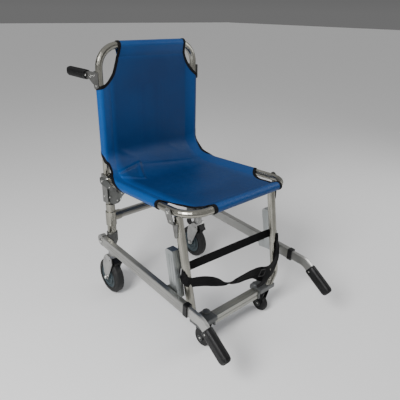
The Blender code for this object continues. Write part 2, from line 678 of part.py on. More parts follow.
def foot_block(side):
    """Cast foot: a top plate over the front fork and a cheek that the cross bar butts against."""
    (x0, x1), (y0, y1), (z0, z1) = BLOCK_X, BLOCK_Y, BLOCK_Z
    name = f"foot_block_{SIDE_NAME[side]}"
    body = box(name, xs(side, x0, x1), (y0, y1), (z0, z1), "cast_metal", bevel=0.002)
    cheek = box(f"guide_cheek_{name}", xs(side, x0, x0 + 0.007), (y0 + 0.008, y1 - 0.008),
                (BAR_Z[0] - 0.002, z0 + 0.005),
                "cast_metal")
    boolean(body, cheek, "UNION")
    body.modifiers.move(0, 1)


def front_cross_bar():
    """Square tube with a shallow groove along its top and front faces."""
    x = BLOCK_X[0] - GAP
    y_mid, z_mid = (BLOCK_Y[0] + BLOCK_Y[1]) / 2, sum(BAR_Z) / 2
    half, groove, deep = (BAR_Z[1] - BAR_Z[0]) / 2, 0.002, 0.0012
    outline = [(half, -half), (half, half), (groove, half), (groove, half - deep), (-groove, half - deep),
               (-groove, half),
               (-half, half), (-half, groove), (-half + deep, groove), (-half + deep, -groove),
               (-half, -groove), (-half, -half)]
    rings = [[Vector((s * x, y_mid + a, z_mid + b)) for a, b in outline] for s in (-1, 1)]
    return loft("front_cross_bar", rings, "rail_aluminium", smooth=30)


def front_fork(side):
    """Black V-shaped fork with its axle."""
    name = f"front_fork_{SIDE_NAME[side]}"
    x, y, z = FRONT_WHEEL
    top = BLOCK_Z[0] - GAP
    outer, inner = FRONT_WHEEL_W / 2 + 0.0045, FRONT_WHEEL_W / 2 + 0.0015
    outline = [(y + 0.026, top), (y - 0.026, top), (y - 0.026, top - 0.010), *arc((y, z), 0.011, 200, 340, 6),
               (y + 0.026, top - 0.010)]
    body = prism_x(name, outline, xs(side, x - outer, x + outer), "black_plastic")
    inside = box(f"guide_inside_{name}", xs(side, x - inner, x + inner), (y - 0.05, y + 0.05),
                 (z - 0.02, top - 0.004),
                 "black_plastic")
    boolean(body, inside, "DIFFERENCE")
    axle = pin_x(f"guide_axle_{name}", [(side * (x - outer), 0.0032), (side * (x + outer), 0.0032)], y, z,
                 "bolt_steel")
    boolean(body, axle, "UNION")


def front_wheel(side):
    x, y, z = FRONT_WHEEL
    half = FRONT_WHEEL_W / 2
    profile = [(0.0035, -half), (z - 0.004, -half), (z - 0.001, -half + 0.0025), (z, -half + 0.006),
               (z, half - 0.006),
               (z - 0.001, half - 0.0025), (z - 0.004, half), (0.0035, half)]
    return lathe(f"front_wheel_{SIDE_NAME[side]}", profile, (side * x, y, z), "black_rubber", count=28)


def leg_strap():
    """Webbing loop round both front legs: the rear strand is straight and the front strand sags."""
    half_width, half_thick = STRAP_WIDTH / 2, 0.0008
    bend = LEG_R + 0.0016
    leg_x = leg_axis(STRAP_Z)[0]
    across, turn = 12, 6
    path = []
    for k in range(across + 1):
        t = k / across
        path.append((-leg_x + 2 * leg_x * t, -bend, STRAP_Z - STRAP_SAG * math.sin(math.pi * t)))
    for k in range(1, turn):
        angle = math.pi * (k / turn - 0.5)
        path.append((leg_x + bend * math.cos(angle), bend * math.sin(angle), STRAP_Z))
    for k in range(across + 1):
        path.append((leg_x - 2 * leg_x * k / across, bend, STRAP_Z))
    for k in range(1, turn):
        angle = math.pi * (k / turn + 0.5)
        path.append((-leg_x + bend * math.cos(angle), bend * math.sin(angle), STRAP_Z))
    path = [Vector(p) for p in path]
    rings = []
    for i, p in enumerate(path):
        tangent = path[(i + 1) % len(path)] - path[i - 1]
        out = Vector((tangent.y, -tangent.x, 0)).normalized()
        ring = []
        for a, b in ((-1, -1), (1, -1), (1, 1), (-1, 1)):
            corner = p + out * (a * half_thick) + Vector((0, 0, b * half_width))
            lean_x, lean_y = leg_axis(corner.z)
            corner.x *= lean_x / leg_x
            corner.y += lean_y
            ring.append(corner)
        rings.append(ring)
    return loft("leg_strap", rings, "strap_webbing", closed=True)


# ---------------------------------------------------------------- rear casters

def caster_fork(side):
    """Stamped fork: crown, two tapered side plates, swivel housing, king pin and axle."""
    name = f"caster_fork_{SIDE_NAME[side]}"
    x, y_king, y_axle = side * KING_X, KING_Y, KING_Y + TRAIL
    outer, inner = 0.0230, 0.0200
    crown_low, crown_high = CROWN_Z
    outline = [*arc((y_axle, CASTER_R), 0.011, 190, 350, 6), (y_axle + 0.018, 0.086), (y_axle + 0.019, 0.118),
               (y_axle + 0.013, 0.146), (y_axle + 0.004, 0.161), (y_king + 0.020, crown_high - 0.003),
               (y_king + 0.012, crown_high), (y_king - 0.012, crown_high), (y_king - 0.0190, crown_high
                                                                            - 0.006),
               (y_king - 0.0225, 0.142)]
    body = prism_x(name, outline, (x - outer, x + outer), "bracket_steel")
    inside = box(f"guide_inside_{name}", (x - inner, x + inner), (y_king - 0.09, y_king + 0.12),
                 (0.03, crown_low),
                 "bracket_steel")
    boolean(body, inside, "DIFFERENCE")
    bore = pin_x(f"guide_pedal_{name}", [(x - 0.03, 0.0033), (x + 0.03, 0.0033)], *PEDAL_PIVOT,
                 "bracket_steel", count=12)
    boolean(body, bore, "DIFFERENCE")
    king = pin_z(f"guide_king_{name}", [(crown_high - 0.003, 0.0175), (0.1950, 0.0165), (0.1985, 0.0140),
                                        (0.1985, 0.0060),
                                        (0.2245, 0.0060)], x, y_king, "bracket_steel")
    boolean(body, king, "UNION")
    axle = pin_x(f"guide_axle_{name}", [(x - outer - 0.004, 0.0070), (x - outer, 0.0070), (x - outer, 0.0048),
                                        (x + outer, 0.0048), (x + outer, 0.0070), (x + outer + 0.004,
                                                                                   0.0070)],
                 y_axle, CASTER_R, "bolt_steel")
    boolean(body, axle, "UNION")


def caster_wheel(side):
    """A grey tyre round a moulded hub with a recessed web."""
    centre = (side * KING_X, KING_Y + TRAIL, CASTER_R)
    half, r = TYRE_W / 2, CASTER_R
    tyre = [(HUB_R + GAP, -half + 0.002), (r - 0.010, -half), (r - 0.003, -half + 0.004), (r, -half + 0.009),
            (r, half - 0.009), (r - 0.003, half - 0.004), (r - 0.010, half), (HUB_R + GAP, half - 0.002)]
    lathe(f"caster_tyre_{SIDE_NAME[side]}", tyre, centre, "grey_tyre", count=40)
    rim, web, boss = half - 0.0022, half - 0.0060, half + 0.0020
    hub = [(HUB_R, -rim), (HUB_R, rim), (HUB_R - 0.005, rim), (HUB_R - 0.009, web), (0.014, web),
           (0.012, boss),
           (0.0052, boss), (0.0052, -boss), (0.012, -boss), (0.014, -web), (HUB_R - 0.009, -web), (HUB_R
                                                                                                   - 0.005,
                                                                                                   -rim)]
    lathe(f"caster_hub_{SIDE_NAME[side]}", hub, centre, "hub_plastic", count=32)


def brake_pedal(side):
    """Toe brake between the fork's side plates, sticking out at the front."""
    name = f"brake_pedal_{SIDE_NAME[side]}"
    x = side * KING_X
    y, z = PEDAL_PIVOT
    outline = [(y - 0.026, z - 0.0135), (y - 0.022, z - 0.0155), (y - 0.006, z - 0.0085),
               *arc(PEDAL_PIVOT, 0.0075, 270, 450, 6),
               (y - 0.008, z + 0.0065), (y - 0.0255, z - 0.0060)]
    pedal = prism_x(name, outline, (x - 0.0140, x + 0.0140), "black_plastic")
    stud = pin_x(f"guide_stud_{name}", [(x - 0.0228, 0.0030), (x + 0.0228, 0.0030)], y, z, "black_plastic",
                 count=12)
    boolean(pedal, stud, "UNION")


# ---------------------------------------------------------------- assembly

def build():
    for old in list(bpy.data.objects):
        bpy.data.objects.remove(old)
    back_frame()
    back_sling()
    seat_frame()
    seat_sling()
    front_cross_bar()
    leg_strap()
    rails = rail_frame()
    for side in (LEFT, RIGHT):
        for piece in (rear_leg, cross_tube_tee, hinge_bracket, seat_hinge_pin, foot_casting, rail_pivot_bolt,
                      rear_handle_bracket, rear_handle, seat_arm, seat_latch, front_leg, leg_plate, leg_brace,
                      foot_block, front_fork, front_wheel, caster_fork, caster_wheel, brake_pedal):
            piece(side)
        for piece in (rail, rail_plug, rail_collar, front_handle):
            piece(side, rails)


build()
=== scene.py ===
import math

import bmesh
import bpy
from mathutils import Matrix, Vector, geometry
from mathutils.bvhtree import BVHTree


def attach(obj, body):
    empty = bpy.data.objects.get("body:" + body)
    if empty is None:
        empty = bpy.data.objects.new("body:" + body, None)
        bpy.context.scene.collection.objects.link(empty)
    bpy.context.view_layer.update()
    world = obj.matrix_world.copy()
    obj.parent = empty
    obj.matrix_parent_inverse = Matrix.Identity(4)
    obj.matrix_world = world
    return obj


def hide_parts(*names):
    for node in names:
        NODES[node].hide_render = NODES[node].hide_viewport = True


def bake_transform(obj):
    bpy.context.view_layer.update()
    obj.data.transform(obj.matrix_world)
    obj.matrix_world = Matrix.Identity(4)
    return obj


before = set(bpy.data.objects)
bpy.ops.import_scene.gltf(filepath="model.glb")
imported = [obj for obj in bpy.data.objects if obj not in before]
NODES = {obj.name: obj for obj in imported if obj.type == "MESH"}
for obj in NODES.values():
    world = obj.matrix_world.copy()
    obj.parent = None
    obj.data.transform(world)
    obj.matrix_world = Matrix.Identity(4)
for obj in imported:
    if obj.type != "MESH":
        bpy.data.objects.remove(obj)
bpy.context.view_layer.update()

SIDES = {"left": -1, "right": 1}


def placed(name, data):
    """New object in the scene."""
    made = bpy.data.objects.new(name, data)
    bpy.context.collection.objects.link(made)
    return made


# ------ camera

cam_data = bpy.data.cameras.new("camera")
cam = placed("camera", cam_data)
cam_data.lens = 38.34
cam_data.sensor_width = 36
yaw, pitch, roll = math.radians(-41.87), math.radians(-24.0), math.radians(1.08)
cam.location = (-0.8822, -1.022, 1.0051)
level = Matrix.Rotation(yaw, 4, "Z") @ Matrix.Rotation(math.pi / 2 + pitch, 4, "X")
turn = level @ Matrix.Rotation(roll, 4, "Z")
cam.rotation_euler = turn.to_euler()
bpy.context.scene.camera = cam


# ------ materials

def new_material(name, base, roughness, metallic=0.0, **sockets):
    made = bpy.data.materials.new(name)
    made.use_nodes = True
    shader = made.node_tree.nodes["Principled BSDF"]
    shader.inputs["Base Color"].default_value = (*base, 1)
    shader.inputs["Roughness"].default_value = roughness
    shader.inputs["Metallic"].default_value = metallic
    for key, value in sockets.items():
        shader.inputs[key.replace("_", " ")].default_value = value
    return made


class Graph:
    """Short names for the nodes that the materials below are made of."""

    def __init__(self, material):
        self.tree = material.node_tree
        self.shader = self.tree.nodes["Principled BSDF"]
        self.coordinates = self.add("ShaderNodeTexCoord").outputs["Object"]

    def add(self, kind, **inputs):
        node = self.tree.nodes.new(kind)
        for key, value in inputs.items():
            node.inputs[key].default_value = value
        return node

    def link(self, a, b):
        self.tree.links.new(a, b)

    def stretched(self, scale):
        mapping = self.add("ShaderNodeMapping")
        mapping.inputs["Scale"].default_value = scale
        self.link(self.coordinates, mapping.inputs["Vector"])
        return mapping.outputs["Vector"]

    def noise(self, scale, detail=3.0, stretch=None):
        node = self.add("ShaderNodeTexNoise", Scale=scale, Detail=detail, Roughness=0.55)
        self.link(self.stretched(stretch) if stretch else self.coordinates, node.inputs["Vector"])
        return node.outputs["Fac"]

    def wave(self, scale, axis, distortion):
        node = self.add("ShaderNodeTexWave", Scale=scale, Distortion=distortion)
        node.bands_direction = axis
        self.link(self.coordinates, node.inputs["Vector"])
        return node.outputs["Fac"]

    def spread(self, value, low, high, from_low=0.3, from_high=0.7):
        node = self.add("ShaderNodeMapRange")
        for key, v in zip(("From Min", "From Max", "To Min", "To Max"), (from_low, from_high, low, high)):
            node.inputs[key].default_value = v
        self.link(value, node.inputs["Value"])
        return node.outputs["Result"]

    def math(self, operation, a, b):
        node = self.add("ShaderNodeMath")
        node.operation = operation
        for socket, value in zip(node.inputs, (a, b)):
            if isinstance(value, (int, float)):
                socket.default_value = value
            else:
                self.link(value, socket)
        return node.outputs["Value"]

    def blend(self, fac, a, b):
        node = self.tree.nodes.new("ShaderNodeMix")
        node.data_type = "RGBA"
        self.link(fac, node.inputs["Factor"])
        for socket, value in ((node.inputs[6], a), (node.inputs[7], b)):  # the colour sockets
            if isinstance(value, tuple):
                socket.default_value = (*value, 1)
            else:
                self.link(value, socket)
        return node.outputs[2]

    def colour(self, value):
        self.link(value, self.shader.inputs["Base Color"])

    def roughness(self, value):
        self.link(value, self.shader.inputs["Roughness"])

    def bump(self, height, strength, distance):
        node = self.add("ShaderNodeBump", Strength=strength, Distance=distance)
        self.link(height, node.inputs["Height"])
        self.link(node.outputs["Normal"], self.shader.inputs["Normal"])


def metal(name, light, dark, roughness, grain, grain_height=0.00003, metallic=1.0, smudge=7.0):
    """Worked metal: grain stretched along the part, cloudy tone, scuffs that change the gloss."""
    made = new_material(name, light, roughness, metallic)
    g = Graph(made)
    cloud = g.spread(g.noise(smudge, 4.0), 0.0, 1.0, 0.35, 0.68)
    streak = g.noise(40.0, 4.0, grain)
    speck = g.spread(g.noise(420.0, 2.0), 0.0, 1.0, 0.62, 0.72)
    tone = g.math("ADD", g.math("MULTIPLY", cloud, 0.55), g.math("MULTIPLY", streak, 0.45))
    g.colour(g.blend(g.math("MAXIMUM", tone, g.math("MULTIPLY", speck, 0.5)), light, dark))
    g.roughness(g.math("ADD", g.spread(streak, roughness - 0.07, roughness + 0.09),
                       g.math("MULTIPLY", cloud, 0.08)))
    g.bump(g.math("ADD", streak, g.math("MULTIPLY", speck, 0.4)), 0.5, grain_height)
    return made


def cast(name, light, dark, roughness, height):
    """Sand-blasted casting: fine pits over a slow tone."""
    made = new_material(name, light, roughness, 0.75)
    g = Graph(made)
    pits = g.noise(650.0, 3.0)
    slow = g.spread(g.noise(22.0, 4.0), 0.0, 1.0, 0.35, 0.65)
    g.colour(g.blend(g.math("MULTIPLY", g.math("ADD", slow, pits), 0.5), light, dark))
    g.roughness(g.spread(pits, roughness - 0.08, roughness + 0.1))
    g.bump(pits, 0.6, height)
    return made


def moulded(name, light, dark, roughness, grain=700.0, height=0.00006, dust=None):
    """Moulded rubber or plastic: matt grain, and dust that lies in cloudy patches."""
    made = new_material(name, light, roughness, Specular_IOR_Level=0.28)
    g = Graph(made)
    fine = g.noise(grain, 2.0)
    slow = g.spread(g.noise(14.0, 4.0), 0.0, 1.0, 0.4, 0.7)
    base = g.blend(g.math("MULTIPLY", slow, 0.8), light, dark)
    if dust:
        patches = g.spread(g.noise(60.0, 5.0), 0.0, 0.55, 0.55, 0.75)
        base = g.blend(patches, base, dust)
    g.colour(base)
    g.roughness(g.math("ADD", g.spread(fine, roughness - 0.06, roughness + 0.06),
                       g.math("MULTIPLY", slow, 0.06)))
    g.bump(fine, 0.5, height)
    return made


def coated_nylon(name):
    """Blue coated nylon: a fine plain weave under a slightly glossy coating."""
    made = new_material(name, (0.004, 0.07, 0.25), 0.42, Specular_IOR_Level=0.3)
    g = Graph(made)
    warp, weft, across = (g.wave(900.0, axis, 0.15) for axis in "XZY")
    weave = g.math("MAXIMUM", g.math("MULTIPLY", warp, weft), g.math("MULTIPLY", warp, across))
    slow = g.spread(g.noise(5.0, 3.0), 0.0, 1.0, 0.35, 0.7)
    mottle = g.noise(55.0, 4.0)
    tone = g.math("ADD", g.math("MULTIPLY", slow, 0.6), g.math("MULTIPLY", mottle, 0.35))
    body = g.blend(tone, (0.0004, 0.0165, 0.072), (0.0008, 0.029, 0.115))
    # painted light: the cloth over the tubes and along the top and front hems is made paler, the left sleeve
    # most, as if lit from the left
    parts = g.add("ShaderNodeSeparateXYZ")
    g.link(g.coordinates, parts.inputs["Vector"])
    painted_sleeve_light = g.math("MAXIMUM", g.spread(parts.outputs["X"], 1.0, 0.0, -0.178, -0.14),
                     g.spread(parts.outputs["X"], 0.0, 0.35, 0.15, 0.19))
    painted_sleeve_light = g.math("MAXIMUM", painted_sleeve_light, g.spread(parts.outputs["Z"], 0.0, 0.5, 0.85, 0.88))
    painted_sleeve_light = g.math("MAXIMUM", painted_sleeve_light, g.spread(parts.outputs["Y"], 0.5, 0.0, -0.23, -0.19))
    body = g.blend(painted_sleeve_light, body, g.blend(tone, (0.0008, 0.05, 0.2), (0.0012, 0.068, 0.26)))
    g.colour(g.blend(g.math("MULTIPLY", weave, 0.1), body, (0.002, 0.12, 0.36)))
    g.roughness(g.math("ADD", g.spread(mottle, 0.36, 0.5), g.math("MULTIPLY", weave, 0.05)))
    g.bump(g.math("ADD", weave, g.math("MULTIPLY", mottle, 0.6)), 0.35, 0.00012)
    return made


def webbing(name, light, dark, pitch=1500.0):
    """Woven tape: ribs across it and a rougher thread noise."""
    made = new_material(name, light, 0.78, Specular_IOR_Level=0.15)
    g = Graph(made)
    ribs = g.wave(pitch, "DIAGONAL", 0.4)
    thread = g.noise(900.0, 3.0)
    g.colour(g.blend(g.math("MULTIPLY", ribs, thread), light, dark))
    g.roughness(g.spread(thread, 0.62, 0.82))
    g.bump(g.math("ADD", ribs, thread), 0.5, 0.00012)
    return made


ALONG_X, ALONG_Y, ALONG_Z = (0.05, 1.5, 1.5), (1.5, 0.05, 1.5), (1.5, 1.5, 0.05)
TUBE_Z = metal("tube_brushed_upright", (0.44, 0.43, 0.38), (0.2, 0.195, 0.17), 0.22, ALONG_Z)
TUBE_Y = metal("tube_brushed_lengthwise", (0.44, 0.43, 0.38), (0.2, 0.195, 0.17), 0.22, ALONG_Y)
TUBE_X = metal("tube_brushed_across", (0.42, 0.41, 0.38), (0.26, 0.255, 0.235), 0.32, ALONG_X)
RAIL = metal("rail_anodised", (0.44, 0.44, 0.42), (0.28, 0.28, 0.27), 0.33, ALONG_Y)
BAR = metal("bar_anodised", (0.54, 0.54, 0.52), (0.38, 0.38, 0.37), 0.3, ALONG_Y)
CROSS_BAR = metal("cross_bar_anodised", (0.42, 0.42, 0.38), (0.27, 0.27, 0.25), 0.36, ALONG_X)
BRACE = metal("brace_anodised", (0.46, 0.48, 0.48), (0.32, 0.34, 0.34), 0.32, ALONG_Z)
PLATE = metal("plate_galvanised", (0.27, 0.27, 0.26), (0.14, 0.14, 0.135), 0.4, (0.8, 0.8, 0.8), 0.00005,
              0.95, 30.0)
FORK = metal("fork_zinc", (0.46, 0.46, 0.45), (0.28, 0.28, 0.275), 0.36, (0.8, 0.8, 0.8), 0.00005, 0.95, 30.0)
DARK_PLATE = metal("plate_dark", (0.14, 0.145, 0.14), (0.07, 0.073, 0.07), 0.42, (0.8, 0.8, 0.8), 0.00005,
                   0.9, 30.0)
BOLT = metal("bolt_zinc", (0.7, 0.7, 0.68), (0.46, 0.46, 0.44), 0.22, (1.0, 1.0, 1.0), 0.00002, 1.0, 60.0)
CAST = cast("casting_grey", (0.2, 0.205, 0.2), (0.1, 0.1, 0.095), 0.52, 0.0001)
PLUG = cast("plug_grey", (0.36, 0.36, 0.35), (0.22, 0.22, 0.215), 0.42, 0.00008)
BLOCK = cast("block_grey", (0.165, 0.17, 0.17), (0.1, 0.104, 0.104), 0.4, 0.00008)
GRIP = moulded("grip_rubber", (0.0035, 0.0035, 0.004), (0.006, 0.006, 0.0065), 0.4, dust=(0.014, 0.014, 0.014))
PLASTIC = moulded("plastic_black", (0.003, 0.003, 0.0035), (0.006, 0.006, 0.0065), 0.36)
TYRE = moulded("tyre_grey_rubber", (0.014, 0.0145, 0.015), (0.024, 0.0245, 0.025), 0.62,
               dust=(0.05, 0.049, 0.046))
FRONT_TYRE = moulded("tyre_black_rubber", (0.006, 0.006, 0.0065), (0.012, 0.012, 0.0125), 0.5,
                     dust=(0.03, 0.03, 0.028))
HUB = moulded("hub_blue_grey", (0.036, 0.052, 0.06), (0.052, 0.07, 0.078), 0.44)
RING = moulded("ring_black", (0.003, 0.003, 0.0035), (0.006, 0.006, 0.0065), 0.5)
NYLON = coated_nylon("coated_nylon_blue")
TAPE = webbing("binding_tape_black", (0.002, 0.002, 0.0025), (0.006, 0.006, 0.007))
STRAP = webbing("strap_webbing_black", (0.002, 0.002, 0.0025), (0.007, 0.007, 0.008), 1100.0)
THREAD = new_material("thread_dark_blue", (0.004, 0.03, 0.1), 0.6)

MADE_OF = {
    TUBE_Z: "back_tube rear_leg front_leg cross_tube_tee", TUBE_Y: "seat_tube", TUBE_X: "rear_cross_tube",
    PLATE: "hinge_bracket rear_handle_bracket rear_handle_bar leg_plate", DARK_PLATE: "seat_arm",
    BOLT: "rail_pivot_bolt seat_hinge_pin", CAST: "foot_casting", PLUG: "rail_plug", BLOCK: "foot_block",
    RAIL: "rail", BAR: "front_handle_bar", BRACE: "leg_brace", CROSS_BAR: "front_cross_bar",
    FORK: "caster_fork", PLASTIC: "rail_collar front_fork seat_latch brake_pedal",
    GRIP: "rear_grip front_grip", FRONT_TYRE: "front_wheel", TYRE: "caster_tyre", HUB: "caster_hub",
    STRAP: "leg_strap", NYLON: "back_sling seat_sling"}
BY_KIND = {kind: material for material, kinds in MADE_OF.items() for kind in kinds.split()}
for node_name, node in NODES.items():
    node.data.materials.clear()
    node.data.materials.append(BY_KIND[node_name.removesuffix("_left").removesuffix("_right")])


# ------ mesh helpers

def piece(name, vertices, faces, material, body):
    """Smooth mesh with its faces outwards, on a body if one is named."""
    data = bpy.data.meshes.new(name)
    data.from_pydata([tuple(v) for v in vertices], [], faces)
    bm = bmesh.new()
    bm.from_mesh(data)
    bmesh.ops.recalc_face_normals(bm, faces=bm.faces)
    bm.to_mesh(data)
    bm.free()
    data.polygons.foreach_set("use_smooth", [True] * len(data.polygons))
    made = placed(name, data)
    data.materials.append(material)
    if body:
        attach(made, body)
    return made


def sharp(made, degrees):
    """Smooth shading apart from edges sharper than this."""
    data = made.data
    bm = bmesh.new()
    bm.from_mesh(data)
    limit = math.radians(degrees)
    for edge in bm.edges:
        edge.smooth = len(edge.link_faces) == 2 and edge.calc_face_angle(0) < limit
    for face in bm.faces:
        face.smooth = True
    bm.to_mesh(data)
    bm.free()
    return made


def lofted(rings, closed=False):
    """Vertices and faces through rings of equal counts, capped at both ends or closed on itself."""
    vertices = [v for ring in rings for v in ring]
    n, faces = len(rings[0]), []
    for i in range(len(rings) if closed else len(rings) - 1):
        a, b = i * n, ((i + 1) % len(rings)) * n
        for k in range(n):
            faces.append((a + k, a + (k + 1) % n, b + (k + 1) % n, b + k))
    if not closed:
        faces.append(tuple(reversed(range(n))))
        faces.append(tuple(range(len(vertices) - n, len(vertices))))
    return vertices, faces


def shell(name, rings, material, body, degrees, closed=False):
    """Piece lofted through rings, its edges sharper than the angle kept crisp."""
    vertices, faces = lofted(rings, closed)
    return sharp(piece(name, vertices, faces, material, body), degrees)


def basis(axis):
    """Unit vector along the axis and two square to it."""
    axis = Vector(axis).normalized()
    side = axis.orthogonal().normalized()
    return axis, side, axis.cross(side)


def turned(name, profile, centre, axis, material, body, count, closed=False):
    """Body of revolution: profile of (distance along the axis, radius) from the centre."""
    axis, u, v = basis(axis)
    centre = Vector(centre)
    rings = []
    for along, radius in profile:
        radius = max(radius, 1e-5)
        rings.append([centre + axis * along + (u * math.cos(t) + v * math.sin(t)) * radius
                      for t in (2 * math.pi * k / count for k in range(count))])
    return shell(name, rings, material, body, 32, closed)


def screw_head(name, centre, axis, radius, body, hexagon=False):
    """Domed head with a driver recess, or a hexagon nut with a chamfer."""
    height = radius * 0.55
    if hexagon:
        profile = [(-0.0004, radius), (height * 0.75, radius), (height, radius * 0.86),
                   (height, radius * 0.45), (height * 1.35, radius * 0.4), (height * 1.45, radius * 0.12)]
        return turned(name, profile, centre, axis, BOLT, body, 6)
    profile = [(-0.0004, radius), (height * 0.25, radius), (height * 0.7, radius * 0.86),
               (height * 0.95, radius * 0.58), (height, radius * 0.4), (height * 0.55, radius * 0.34),
               (height * 0.5, radius * 0.05)]
    return turned(name, profile, centre, axis, BOLT, body, 20)


def smooth_path(points, per_span=8):
    """Catmull-Rom line through the points."""
    points = [Vector(p) for p in points]
    padded = [points[0] * 2 - points[1], *points, points[-1] * 2 - points[-2]]
    out = []
    for i in range(1, len(padded) - 2):
        p0, p1, p2, p3 = padded[i - 1:i + 3]
        for k in range(per_span):
            t = k / per_span
            out.append(0.5 * ((2 * p1) + (p2 - p0) * t + (2 * p0 - 5 * p1 + 4 * p2 - p3) * t * t
                              + (3 * p1 - p0 - 3 * p2 + p3) * t ** 3))
    out.append(points[-1])
    return out


# ------ sling: one sheet cut flat, then led over the tubes

TUBE_REACH = 0.036      # stitched seam to tube axis
SLEEVE_R = 0.0132       # middle of the cloth round a tube
SEAM_ANGLE = math.asin(SLEEVE_R / TUBE_REACH)
SLANT = math.sqrt(TUBE_REACH ** 2 - SLEEVE_R ** 2)
WRAP = SLEEVE_R * (math.pi + 2 * SEAM_ANGLE)
SLEEVE = 2 * SLANT + WRAP
HEM = 0.006
FOLD_Q = 0.16          # pattern coordinate of the side seams
CLOTH = 0.001           # its thickness
BACK_Y = 0.235          # plane of the back posts
TOP_SEAM_Z = 0.863
BEND_TOP_Z = 0.56      # the sling leaves the back's plane here
BEND_FRONT_Y = 0.125    # and joins the seat's here
FRONT_SEAM_Y = -0.199
SEAT_SLOPE = 0.0505     # rise of the seat tubes towards the front
BEND_STEPS = 40
CREASES = []            # (pattern point, pattern point, height, width), filled below


def seat_height(y):
    return 0.4697 + (0.181 - y) * SEAT_SLOPE


def centre_line():
    """Points (y, z) down the middle of the sling, from top seam to front seam, and their running length."""
    a, b = Vector((BACK_Y, BEND_TOP_Z)), Vector((BEND_FRONT_Y, seat_height(BEND_FRONT_Y)))
    da, db = Vector((0, -1)), Vector((-1, SEAT_SLOPE)).normalized()
    points = [Vector((BACK_Y, TOP_SEAM_Z)), a]
    for k in range(1, BEND_STEPS + 1):
        t = k / BEND_STEPS
        p1, p2 = a + da * 0.052, b - db * 0.05
        points.append(a * (1 - t) ** 3 + p1 * 3 * t * (1 - t) ** 2 + p2 * 3 * t * t * (1 - t) + b * t ** 3)
    points.append(Vector((FRONT_SEAM_Y, seat_height(FRONT_SEAM_Y))))
    run = [0.0]
    for p, q in zip(points, points[1:]):
        run.append(run[-1] + (q - p).length)
    return points, run


LINE, RUN = centre_line()
BEND_END = RUN[-2]
FRONT_SEAM = RUN[-1]


def step(t):
    """Smooth rise from 0 to 1 as t goes from 0 to 1."""
    t = min(1.0, max(0.0, t))
    return t * t * (3 - 2 * t)


def on_line(s):
    """Point (y, z) and direction of the centre line at running length s, straight on beyond its ends."""
    i = 0
    while i < len(RUN) - 2 and s > RUN[i + 1]:
        i += 1
    d = (LINE[i + 1] - LINE[i]).normalized()
    if 0 < i < len(RUN) - 2:
        t = (s - RUN[i]) / (RUN[i + 1] - RUN[i])
        before, after = (LINE[i] - LINE[i - 1]).normalized(), (LINE[i + 2] - LINE[i + 1]).normalized()
        turn_in = (before + d).lerp(d + after, t).normalized()
        return LINE[i] + (LINE[i + 1] - LINE[i]) * t, turn_in
    return LINE[i] + d * (s - RUN[i]), d


def nearest_s(y, z):
    """Running length of the centre line's point nearest to a place, to a millimetre."""
    here = Vector((y, z))
    return min((k * 0.001 for k in range(-20, 900)), key=lambda s: (on_line(s)[0] - here).length)


def half_width(s):
    """Distance from the middle to the side tube's axis, less at the posts than at the seat tubes."""
    return 0.195 + 0.0205 * step((s - 0.31) / 0.11)


def teardrop(d):
    """(distance out from the seam, height off the panel) at arc length d along a sleeve, out and back."""
    if d <= SLANT:
        return d * math.cos(SEAM_ANGLE), d * math.sin(SEAM_ANGLE)
    if d <= SLANT + WRAP:
        a = -SEAM_ANGLE + (d - SLANT) / SLEEVE_R
        return TUBE_REACH + SLEEVE_R * math.sin(a), SLEEVE_R * math.cos(a)
    rest = min(SLEEVE, d) - SLANT - WRAP
    out = (SLANT - rest) * math.cos(SEAM_ANGLE)
    low = -(SLANT - rest) * math.sin(SEAM_ANGLE)
    if d > SLEEVE:
        out -= d - SLEEVE
    return out, min(low, -0.0018)


def ridges(q, s):
    """Height of the pulled creases, and of the turned hem that shows through at the front seam."""
    lift = 0.0
    for (qa, sa), (qb, sb), height, width in CREASES:
        length = math.hypot(qb - qa, sb - sa)
        t = ((q - qa) * (qb - qa) + (s - sa) * (sb - sa)) / length ** 2
        t = min(1.0, max(0.0, t))
        away = math.hypot(q - qa - t * (qb - qa), s - sa - t * (sb - sa))
        lift += height * math.exp(-(away / width) ** 2) * (1 - 0.5 * abs(2 * t - 1))
    return lift


def sling_point(q, s):
    """Where the cloth point (q across, s along) of the flat pattern lies on the chair."""
    side = -1 if q < 0 else 1
    a = abs(q)
    w = half_width(s) - TUBE_REACH
    off = 0.0
    if a <= FOLD_Q:
        x = w * a / FOLD_Q
        if 0 < s < FRONT_SEAM:
            slack = 0.0055 * step(s / 0.1) * (1 - step((s - 0.28) / 0.12))
            slack += 0.0085 * step((s - 0.34) / 0.12) * step((FRONT_SEAM - s) / 0.12)
            off = -slack * (1 - (a / FOLD_Q) ** 2) + ridges(q, s)
    else:
        out, off = teardrop(a - FOLD_Q)
        x = w + out
    if s < 0:
        out, lift = teardrop(-s)
        here, d = on_line(0.0)
        here = here - d * out
        off += lift
    elif s > FRONT_SEAM:
        out, lift = teardrop(s - FRONT_SEAM)
        here, d = on_line(FRONT_SEAM)
        here = here + d * out
        off += lift
    else:
        here, d = on_line(s)
    normal = Vector((d.y, -d.x))
    spot = here + normal * off
    return Vector((side * x, spot.x, spot.y))


def pattern(x, y, z):
    """Pattern point under a place on the upper face of the sling."""
    s = nearest_s(y, z)
    w = half_width(s) - TUBE_REACH
    a = abs(x)
    if a <= w:
        q = FOLD_Q * a / w
    elif a <= w + SLANT * math.cos(SEAM_ANGLE):
        q = FOLD_Q + (a - w) / math.cos(SEAM_ANGLE)
    else:
        lean = math.asin(min(0.999, (a - w - TUBE_REACH) / SLEEVE_R))
        q = FOLD_Q + SLANT + SLEEVE_R * (lean + SEAM_ANGLE)
    return (math.copysign(q, x), s)


def round_tube(degrees):
    """Pattern coordinate at an angle round the side tube, 0 facing the sitter and 90 outermost."""
    return FOLD_Q + SLANT + SLEEVE_R * (math.radians(degrees) + SEAM_ANGLE)


